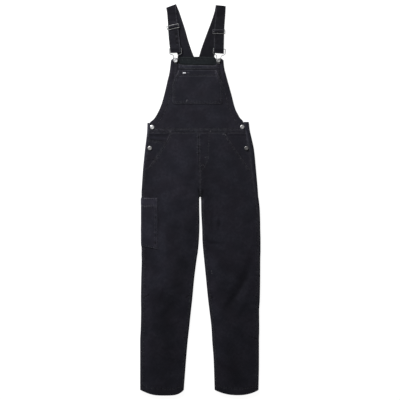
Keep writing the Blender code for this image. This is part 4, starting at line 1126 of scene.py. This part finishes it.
STRAP_COLUMNS = "y inner outer"
STRAP_BACK = {
    "r": Table(STRAP_COLUMNS, (573.5, -25.7, -89.4), (599, -36, -96), (639, -49, -105), (679, -60, -112),
               (719, -73, -118), (755, -85, -127)),
    "l": Table(STRAP_COLUMNS, (573.5, -5.5, 55.5), (599, 2, 62), (639, 16, 71), (679, 31, 80), (719, 46, 89),
               (757, 58, 98)),
}  # fmt: skip
STRAP_FRONT = {
    "r": Table(STRAP_COLUMNS, (745, -95, -133.4), (719, -93, -130.6), (659, -84, -127.4), (621, -80.5, -124),
               (604, -79, -121.4), (585, -78.5, -120.8)),
    "l": Table(STRAP_COLUMNS, (745, 61, 100.5), (719, 58, 98), (659, 54, 95.3), (621, 54, 94.2), (585, 55, 94)),
}  # fmt: skip
SHOULDER_FOLD = {"r": ((-96.5, 784.4), (-136.5, 769.6)), "l": ((61, 780.2), (101.5, 776.3))}  # inner, outer end
SHOULDER_RADIUS = 3.2
SLIDER = {"width": 51, "height": 17.6, "bar": 2.8, "side": 2.2, "middle": 2.2, "thickness": 1.4, "z": 7.4}
SLIDER_PLACE = {"r": {"x": -109.5, "y": 691.5, "tilt": 13}, "l": {"x": 74, "y": 672.3, "tilt": 0}}
WIRE = 1.25  # radius
CLASP = {"r": {"x": -99.3, "y": 606, "tilt": 1.2}, "l": {"x": 76.8, "y": 604, "tilt": -5}}
CLASP_BAR, CLASP_FOOT = {"z": 5.6, "half": 24, "bend": 1.6}, {"y": -55.3, "radius": 5.2}
CLASP_SIDES = (
    (24, -19), (22.5, -22.2), (20, -23.9), (15.5, -24.8), (11.6, -26.3), (9.2, -29.5),
    (8.4, -33), (8.2, -39), (7.2, -46), (5.8, -51.5),
)  # fmt: skip
FACE_GAP = 0.4  # between the ribbon and the slider's bars
LOOP_SLACK, LOOP_RADIUS = 19.5, 1.3  # how far the ribbon's loop hangs past the clasp's bar, and its turn
STRAP_TONE = {"r": 0.66, "l": 0.47}
# Pale marks pale the strap and dark marks darken and thin it. Beside the clasps' bars they are painted light: a
# painted highlight where the ribbon rises over the right bar (609) and painted shade below the bars (right 597, left
# 600).
STRAP_MARKS = {  # lines across the straps' fronts: y, width, and how much paler or darker
    "r": ((769, 2.6, 0.4), (745, 2.6, -0.5), (733, 2.4, 0.2), (721, 2.4, -0.3), (647, 2.6, -0.3), (621, 2.4, -0.25),
          (609, 3.2, 0.9), (597, 5.0, -0.8)),
    "l": ((773, 4.0, -0.5), (766, 2.6, 0.35), (746, 2.6, -0.35), (730, 3.0, 0.25), (663, 3.2, -0.5), (650, 2.6, 0.25),
          (625, 2.6, -0.3), (600, 4.0, -0.5)),
}  # fmt: skip
STRAP_SPOTS = {  # puckers at stitched rungs beside each front's inner edge, their light and shade painted: y, and how much paler or darker
    "r": ((716, -0.5), (706, 0.4), (663, -0.7), (653, 0.9), (643, -0.9), (636, 0.35), (627, -0.9), (621, 0.5),
          (614, -0.4)),
    "l": ((738, -0.3), (722, 0.3), (708, -0.3), (652, -0.3), (640, 0.3), (628, -0.4)),
}  # fmt: skip


def strap_sections(side):
    """(y at inner edge, y at outer edge, x inner, x outer, z) of the ribbon's middle, along its length."""
    back, ahead = STRAP_BACK[side], STRAP_FRONT[side]
    slide, hook = SLIDER_PLACE[side], CLASP[side]
    half = STRAP / 2
    resting = half + STRAP + SEAM_GAP
    off_slider = SLIDER["thickness"] / 2 + FACE_GAP + half
    under, over = SLIDER["z"] - off_slider, SLIDER["z"] + off_slider
    off_bar = WIRE + SEAM_GAP + half
    crest, behind = CLASP_BAR["z"] + off_bar, CLASP_BAR["z"] - off_bar

    def across(place, offset, z):
        """A section at an offset up from a metal piece, tilted as that piece is."""
        y = place["y"] + offset
        inner, outer = float(ahead("inner", y)), float(ahead("outer", y))
        slope = math.tan(math.radians(place["tilt"]))
        return y + (inner - place["x"]) * slope, y + (outer - place["x"]) * slope, inner, outer, z

    def level(table, y, z):
        return y, y, float(table("inner", y)), float(table("outer", y)), z

    sections = [level(back, y, half) for y in (BACK_BIB_TOP + 0.04, 599, 625, 652, 679, 706, 732, 755)]
    (inner_x, inner_y), (outer_x, outer_y) = SHOULDER_FOLD[side]
    for turn in np.radians(np.arange(-90, 91, 15)):
        back_by = SHOULDER_RADIUS * (1 - math.cos(turn)) + half
        z = half + SHOULDER_RADIUS * (1 + math.sin(turn))
        sections.append((inner_y - back_by, outer_y - back_by, inner_x, outer_x, z))
    sections += [level(ahead, 750, resting + 1.6), level(ahead, 736, resting + 0.2)]
    weave = ((24, resting), (7.6, under), (5.4, under + 0.05), (1.7, over - 0.05), (0, over))
    sections += [across(slide, offset, z) for offset, z in weave]
    sections += [across(slide, -offset, z) for offset, z in weave[-2:0:-1]]
    over_bar = ((16, under), (7, (under + crest) / 2), (1.5, crest), (-2.5, crest - 0.1), (-10, 6.3))
    sections += [across(hook, offset, z) for offset, z in over_bar]
    for turn in np.radians(np.arange(90, -91, -30)):
        offset = half + LOOP_RADIUS * (1 - math.cos(turn)) - LOOP_SLACK
        sections.append(across(hook, offset, behind + LOOP_RADIUS * (1 + math.sin(turn))))
    sections += [across(hook, offset, behind) for offset in (-8, 10, 38)]
    sections += [across(slide, -20, behind), across(slide, -5, behind), across(slide, -0.5, under - 0.4)]
    return np.array(sections)


def strap(side):
    """A ribbon of two layers of denim, topstitched along both edges, on the solid's own path."""
    sections = strap_sections(side)
    inner, outer = sections[:, [2, 0, 4]], sections[:, [3, 1, 4]]
    middle = (inner + outer) / 2
    run = running(middle)
    at = np.linspace(0, run[-1], int(run[-1] / 1.6))
    ends = [at_length(at, run, edge) for edge in (inner, outer)]
    for edge in ends:
        for k in range(3):
            edge[2:-2, k] = np.convolve(edge[:, k], np.array([1, 4, 6, 4, 1]) / 16, "valid")
    width = float(np.linalg.norm(ends[1] - ends[0], axis=1).mean())
    near_edge = np.array([0, 0.5, 1.3, 2.4, 3.4, 4.6])
    across = np.concatenate([near_edge, np.linspace(7, width - 7, 12), width - near_edge[::-1]]) / width
    mid = ends[0][:, None] * (1 - across[None, :, None]) + ends[1][:, None] * across[None, :, None]
    normal = grid_normals(mid)
    if normal[10, 5, 2] < 0:
        normal = -normal
    from_inner = across[None, :] * width
    from_side = np.minimum(across, 1 - across)[None, :] * width
    from_end = np.minimum(at, at[-1] - at)[:, None]
    wave = 0.5 + 0.5 * np.sin(at * 2 * math.pi / 9.8)[:, None] * np.cos(at * 2 * math.pi / 31)[:, None]
    thickness = rim_profile(np.minimum(from_side, from_end), STRAP - 0.1)
    thickness = thickness - 0.5 * bump(from_side - 3.4, 1.0) - 0.22 * wave * bump(from_side - 1.5, 2.5)
    wear_and_highlight = 0.5 * bump(from_side, 1.5) * (0.6 + 0.4 * wave) + 0.2 * bump(from_side - 4.8, 1.2) * wave

    fold = run[14]  # the shoulder's outermost section
    run, y = run[run > fold], middle[run > fold][:, 1]
    shown = (at > fold)[:, None] * (across < 0.5)[None, :]
    # Painted shade in the groove beside the edge stitching, faint on the front's shown inner half.
    hollow = 0.45 * bump(from_side - 3.2, 1.1) * (1 - 0.9 * shown)
    pale_edge = bump(from_inner - 2.4, 2.2) * shown * (0.75 + 0.25 * np.sin(at / 7.0))[:, None]
    wear_and_highlight = wear_and_highlight + 0.55 * pale_edge
    marks = []  # where it is, how pale or dark it is, how much of its paleness goes into the pale wear and highlight, and how much it thins the strap
    for spot_at, light in STRAP_SPOTS[side]:
        along = bump(np.interp(at, run, y, left=middle[0, 1]) - spot_at, 3.6)[:, None]
        marks.append((along * bump(from_inner - 12.5, 4.0) * shown, light, 0.6, 0.3))
    for line, spread_by, light in STRAP_MARKS[side]:
        off = at[:, None] - np.interp(-line, -y, run) + 0.8 * np.sin(across * 5)
        marks.append((bump(off, spread_by) * (0.75 + 0.25 * np.sin(from_inner * 0.7)), light, 0.5, 0.4))
    for mark, light, paling, thins in marks:
        wear_and_highlight, hollow = wear_and_highlight + paling * max(light, 0) * mark, hollow + max(-light, 0) * mark
        thickness = thickness + thins * min(light, 0) * mark
    tone = STRAP_TONE[side] * np.tile(((1 - np.clip(hollow, 0, 0.85)) * (1 + 0.2 * pale_edge)).ravel(), 2)
    look = {"finishes": (DENIM, DENIM), "tone": tone, "under_wear": 1.0}
    uv = np.stack(np.broadcast_arrays(from_inner, at[:, None]), -1)
    shell("strap_" + side, mid, normal, thickness, wear_and_highlight, uv, **look)
    for j in (4, len(across) - 5):
        for facing in (normal[3:-3, j], -normal[3:-3, j]):
            stitch_along(mid[3:-3, j] + facing * thickness[3:-3, j : j + 1] / 2, facing, group="thread_straps")


# ------------------------------------------------------------------------------------------ hardware


def clasp_half():
    """Half of the clasp's wire from the bar's middle to the foot of its loop, as seen from above."""
    bar, bend, foot = CLASP_BAR["half"], CLASP_BAR["bend"], CLASP_FOOT
    corner = [(bar - bend + bend * math.cos(a), -bend + bend * math.sin(a)) for a in np.radians([90, 60, 30, 0])]
    turn = np.radians(np.linspace(0, -90, 7))
    round_foot = [(foot["radius"] * math.cos(a), foot["y"] + foot["radius"] * math.sin(a)) for a in turn]
    return np.array([(0, 0), (bar / 2, 0), *corner, *CLASP_SIDES, *round_foot], float)


def clasp(side, sides=14):
    """A closed loop of round wire."""
    place = CLASP[side]
    turn = math.radians(place["tilt"])
    half = clasp_half()
    loop = np.vstack([half, half[-2:0:-1] * (-1, 1)])
    for _ in range(2):
        after = np.roll(loop, -1, 0)
        loop = np.stack([0.8 * loop + 0.2 * after, 0.2 * loop + 0.8 * after], 1).reshape(-1, 2)
    x = place["x"] + loop[:, 0] * math.cos(turn) - loop[:, 1] * math.sin(turn)
    y = place["y"] + loop[:, 0] * math.sin(turn) + loop[:, 1] * math.cos(turn)
    at_bib = solid_front(x, y) + LAYER_GAP + WIRE
    z = CLASP_BAR["z"] + (at_bib - CLASP_BAR["z"]) * np.clip((-loop[:, 1] - 6) / 16, 0, 1)
    points = np.column_stack([x, y, z])
    along = np.roll(points, -1, 0) - np.roll(points, 1, 0)
    along /= np.linalg.norm(along, axis=1, keepdims=True)
    level = np.cross(along, [0, 0, 1.0])
    level /= np.linalg.norm(level, axis=1, keepdims=True)
    up = np.cross(level, along)
    angle = np.linspace(0, 2 * math.pi, sides, endpoint=False)[None, :, None]
    ring = points[:, None] + WIRE * (level[:, None] * np.cos(angle) + up[:, None] * np.sin(angle))
    index = np.arange(len(points) * sides).reshape(len(points), sides)
    ahead, turned = np.roll(index, -1, 0), np.roll(index, -1, 1)
    faces = np.stack([index, turned, np.roll(turned, -1, 0), ahead], -1).reshape(-1, 4).tolist()
    made = add_mesh("wire_buckle_" + side, ring.reshape(-1, 3), faces, finishes=(CLASP_WIRE, NICKEL))
    for face in made.data.polygons:  # the left clasp's inner end is drawn in the brighter nickel
        face.material_index = int(side == "l" and face.center.x / MM < place["x"] - 21)
    dress(made, ["buckle_" + side])


def rounded_box(width, height, radius, y=0.0):
    points = []
    for sx, sy, start in ((1, 1, 0), (-1, 1, 90), (-1, -1, 180), (1, -1, 270)):
        for a in np.radians(np.linspace(start, start + 90, 7)):
            corner = sx * (width / 2 - radius), y + sy * (height / 2 - radius)
            points.append((corner[0] + radius * math.cos(a), corner[1] + radius * math.sin(a)))
    return points


def slider(side, soft=0.45):
    """Three-bar slider: a stamped plate with two slots and softened edges."""
    size, place = SLIDER, SLIDER_PLACE[side]
    slot_height = (size["height"] - 2 * size["bar"] - size["middle"]) / 2
    slot_y = (size["middle"] + slot_height) / 2
    slot = size["width"] - 2 * size["side"]
    loops = [rounded_box(size["width"] - 2 * soft, size["height"] - 2 * soft, 2.6)]
    loops += [rounded_box(slot + 2 * soft, slot_height + 2 * soft, 1.2, y) for y in (slot_y, -slot_y)]
    curve = bpy.data.curves.new("slider_form", "CURVE")
    curve.dimensions, curve.fill_mode = "2D", "BOTH"
    curve.extrude = (size["thickness"] / 2 - soft) * MM
    curve.bevel_depth, curve.bevel_resolution = soft * MM, 3
    for points in loops:
        spline = curve.splines.new("POLY")
        spline.points.add(len(points) - 1)
        for point, (x, y) in zip(spline.points, points):
            point.co = (x * MM, y * MM, 0, 1)
        spline.use_cyclic_u = True
    form = link("slider_form", curve)
    form.location = (place["x"] * MM, place["y"] * MM, size["z"] * MM)
    form.rotation_euler.z = math.radians(place["tilt"])
    bpy.context.view_layer.update()
    mesh = bpy.data.meshes.new_from_object(form.evaluated_get(bpy.context.evaluated_depsgraph_get()))
    mesh.materials.clear()
    for finish in (NICKEL, SLIDER_PAINTED_SHADE):
        mesh.materials.append(finish)
    # The side bars of both sliders and the upper bar of the left one take the darker metal: painted shade.
    for face in mesh.polygons:
        x, y = abs(face.center.x) / MM, face.center.y / MM
        face.material_index = int(x > size["width"] / 2 - size["side"] - 0.2 or (side == "l" and y > 2))
    mesh.transform(form.matrix_world)
    bpy.data.objects.remove(form)
    bm = bmesh.new()
    bm.from_mesh(mesh)
    bmesh.ops.remove_doubles(bm, verts=bm.verts, dist=1e-6)
    bm.to_mesh(mesh)
    bm.free()
    mesh.shade_smooth()
    mesh.set_sharp_from_angle(angle=math.radians(50))
    dress(link("slider_frame_" + side, mesh), ["slider_" + side])


# Turned profiles from the top outward and down, radius and height
BIB_CAP = (
    (0, 5.25), (1.2, 5.2), (2.2, 5.0), (2.8, 4.85), (3.4, 4.95), (5.2, 5.35), (6.1, 5.55), (6.9, 5.5), (7.7, 5.15),
    (8.3, 4.6), (8.6, 4), (8.5, 3.4), (8, 3.15), (3.7, 3.1), (3.5, 2.8), (3.5, 0.5), (4.4, 0.25), (4.6, 0), (0, 0),
)  # fmt: skip
SIDE_CAP = (
    (0, 3.45), (1.6, 3.4), (2.4, 3.2), (3, 3), (3.7, 3.05), (4.9, 3.3), (5.9, 3.4), (6.8, 3.3), (7.6, 2.95),
    (8.2, 2.4), (8.5, 1.8), (8.4, 1.3), (8, 1), (5, 0.85), (4.9, 0.3), (5.2, 0), (0, 0),
)  # fmt: skip
BIB_BUTTON = {"r": (-99, 557), "l": (72.2, 557)}
SIDE_BUTTONS = (  # name, x, y, how far the cloth under it lies below the front's outer face, lean
    ("button_waist_r", -192.5, 290, 0.0, (-0.02, 0.02)),
    ("button_waist_l", 167.5, 291, 0.0, (0.02, 0.0)),
    ("button_hip_r", -202, 206, CLOTH + SEAM_GAP - LAYER_GAP - FACING, (0.0, 0.0)),
    ("button_hip_l", 184.5, 206, CLOTH + SEAM_GAP, (0.03, -0.02)),
)


def button(name, profile, x, y, cloth, lean=(0.0, 0.0), steps=56):
    """A turned metal button on cloth of that height, with a ring round its dish and nothing written on it."""
    profile = np.array(profile, float)
    angle = np.linspace(0, 2 * math.pi, steps, endpoint=False)
    radius, height = profile[1:-1, :1], profile[1:-1, 1:]
    rings = np.stack(np.broadcast_arrays(radius * np.cos(angle), radius * np.sin(angle), height), -1)
    verts = np.vstack([[(0, 0, profile[0, 1])], rings.reshape(-1, 3), [(0, 0, profile[-1, 1])]])
    index = 1 + np.arange(len(radius) * steps).reshape(len(radius), steps)
    turned = np.roll(index, -1, 1)
    faces = np.stack([index[1:], turned[1:], turned[:-1], index[:-1]], -1).reshape(-1, 4).tolist()
    faces += [[0, int(a), int(b)] for a, b in zip(index[0], turned[0])]
    faces += [[len(verts) - 1, int(b), int(a)] for a, b in zip(index[-1], turned[-1])]
    verts[:, 2] += (verts[:, 0] * lean[0] + verts[:, 1] * lean[1]) * np.clip(verts[:, 2] / 2, 0, 1)
    place = (x, y, float(cloth) + LAYER_GAP)
    made = add_mesh("turned_" + name, verts + place, faces, finishes=(BUTTON_METAL[name],))
    dress(made, [name])


# -------------------------------------------------------------------------------------------- thread


def strand(sides=6):
    """One stitch, 1 long and up to 1 in radius, as points and faces of three or four corners."""
    turns = np.linspace(0, 2 * math.pi, sides, endpoint=False)
    stations = ((-0.3, 0.85), (0, 1), (0.3, 0.85))
    rings = [(at, size * math.cos(a), size * math.sin(a)) for at, size in stations for a in turns]
    points = np.array([(-0.5, 0, 0), *rings, (0.5, 0, 0)])
    after = [(i + 1) % sides for i in range(sides)]
    faces = [[0, 1 + j, 1 + i, -1] for i, j in enumerate(after)]
    for first in (1, 1 + sides):
        faces += [[first + i, first + j, first + sides + j, first + sides + i] for i, j in enumerate(after)]
    last = 1 + 2 * sides
    return points, np.array(faces + [[last + i, last + j, last + sides, -1] for i, j in enumerate(after)])


def sew():
    """Turns every recorded stitch into a short rounded strand and joins them by group."""
    template, corners = strand()
    t = template[None]
    for group, parts in sorted(THREADS.items()):
        start, end, up = (np.vstack([part[k] for part in parts]) for k in range(3))
        random = np.random.default_rng(len(start))
        along = end - start
        way = along / np.linalg.norm(along, axis=1, keepdims=True)
        side = np.cross(up, way)
        side /= np.linalg.norm(side, axis=1, keepdims=True)
        rise = np.cross(way, side)
        thick = 0.33 * random.uniform(0.9, 1.12, (len(start), 1, 1))
        sag = t[..., 2:] * thick * 0.75 - 0.30 * (2 * t[..., :1]) ** 2 + 0.12
        points = (start + end)[:, None] / 2 + along[:, None] * t[..., :1] * 1.06
        points = points + side[:, None] * t[..., 1:2] * thick + rise[:, None] * sag
        base = np.arange(len(start))[:, None, None] * len(template)
        faces = np.where(corners[None] >= 0, corners[None] + base, -1).reshape(-1, 4).tolist()
        finish = {"thread_label": TAPE_THREAD, "thread_pale": PALE_THREAD}.get(group, THREAD)
        made = add_mesh(group, points.reshape(-1, 3), [f[:3] if f[3] < 0 else f for f in faces], finishes=(finish,))
        dress(made, [])


# -------------------------------------------------------------------------------------------- scene


def surroundings():
    """The camera straight above, white paper under the garment, one soft lamp from the shoulders' side."""
    scene = bpy.context.scene
    scene.view_settings.view_transform = "Standard"
    scene.view_settings.look = "None"
    camera = bpy.data.cameras.new("camera")
    camera.sensor_width, camera.lens, camera.clip_end = 36.0, CAMERA["lens"], 50
    scene.camera = link("camera", camera)
    scene.camera.location = CAMERA["at"]

    mesh = bpy.data.meshes.new("floor")
    corners = [(x * FLOOR["reach"], y * FLOOR["reach"], FLOOR["z"]) for x, y in ((-1, -1), (1, -1), (1, 1), (-1, 1))]
    mesh.from_pydata(corners, [], [(0, 1, 2, 3)])
    paper = {"Base Color": (0.25, 0.25, 0.25), "Roughness": 0.9, "Specular IOR Level": 0.1}
    glow = {"Emission Color": (1, 1, 1), "Emission Strength": FLOOR["glow"]}
    mesh.materials.append(Finish("white_paper").done({**paper, **glow}))
    link("floor", mesh)

    key = bpy.data.lights.new("key", "AREA")
    key.energy, key.size = LAMP["energy"], LAMP["size"]
    lamp = link("key", key)
    lamp.location = LAMP["at"]
    lamp.rotation_euler = (Vector(LAMP["aim"]) - lamp.location).to_track_quat("-Z", "Y").to_euler()
    world = bpy.data.worlds.new("studio")
    scene.world = world
    world.use_nodes = True
    background = world.node_tree.nodes["Background"]
    background.inputs[0].default_value = (1.0, 1.0, 1.0, 1)
    background.inputs[1].default_value = SKY


CAMERA = {"at": (-0.0014, -0.0010, 6.008), "lens": 135.0}  # metres, as for the floor and the lamp
FLOOR = {"reach": 12.0, "z": -0.0004, "glow": 0.93}
LAMP = {"at": (-1.20, 2.10, 1.35), "aim": (0, 0.05, 0), "energy": 108.0, "size": 1.2}
SKY = 0.19

for stray in list(bpy.data.objects):
    bpy.data.objects.remove(stray)
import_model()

DENIM = twill("black_denim", (0.0108, 0.0104, 0.0155), (0.0258, 0.0250, 0.0350), (0.080, 0.080, 0.094))
REVERSE = twill("denim_inside", (0.0068, 0.0086, 0.0100), (0.0155, 0.0188, 0.0215), (0.042, 0.046, 0.050), -1.07)
THREAD = thread_finish("thread", (0.020, 0.020, 0.026), (0.075, 0.075, 0.088))
PALE_THREAD = thread_finish("tack_thread", (0.16, 0.16, 0.18), (0.42, 0.42, 0.45))
TAPE, TAPE_THREAD = tape_finish("woven_tape"), tape_finish("tape_thread")
NICKEL = metal("brushed_nickel", (0.46, 0.46, 0.46), (0.24, 0.24, 0.245), 0.27)
SLIDER_PAINTED_SHADE = metal("nickel_painted_shade", (0.085, 0.083, 0.095), (0.045, 0.043, 0.05), 0.45)
CLASP_WIRE = metal("clasp_nickel", (0.17, 0.17, 0.175), (0.09, 0.09, 0.095), 0.50)
# Each button's metal is drawn brighter or darker to paint the reflection that it shows: painted reflection.
BUTTON_METAL = {
    "button_bib_r": metal("bib_button_painted_reflection_bright", (0.55, 0.55, 0.56), (0.40, 0.40, 0.41), 0.60),
    "button_bib_l": metal("bib_button_painted_reflection_dark", (0.29, 0.29, 0.29), (0.20, 0.20, 0.20), 0.60),
    "button_waist_r": metal("button_painted_reflection_brightest", (0.97, 0.97, 0.97), (0.90, 0.90, 0.90), 0.42),
    "button_hip_r": metal("button_painted_reflection_mid", (0.52, 0.515, 0.51), (0.34, 0.335, 0.33), 0.44),
    "button_waist_l": metal("button_painted_reflection_mid_left", (0.62, 0.615, 0.61), (0.42, 0.415, 0.41), 0.44),
    "button_hip_l": metal("button_painted_reflection_dark", (0.24, 0.235, 0.235), (0.13, 0.125, 0.125), 0.42),
}

for wearer_side in SIDES:
    leg_front(wearer_side)
    leg_back(wearer_side)
    pocket_facing(wearer_side)
coin_pocket()
bib_front()
waistband()
bib_top_band()
bib_pocket()
bib_pocket_band()
pocket_label()
tool_pockets()
bib_back()
for wearer_side in SIDES:
    strap(wearer_side)
for wearer_side, (at_x, at_y) in BIB_BUTTON.items():
    slider(wearer_side)
    clasp(wearer_side)
    button("button_bib_" + wearer_side, BIB_CAP, at_x, at_y, HEIGHT("top", at_y))
for button_name, at_x, at_y, below, lean in SIDE_BUTTONS:
    button(button_name, SIDE_CAP, at_x, at_y, solid_front(at_x, at_y) - below, lean)
sew()
surroundings()

bpy.context.view_layer.update()
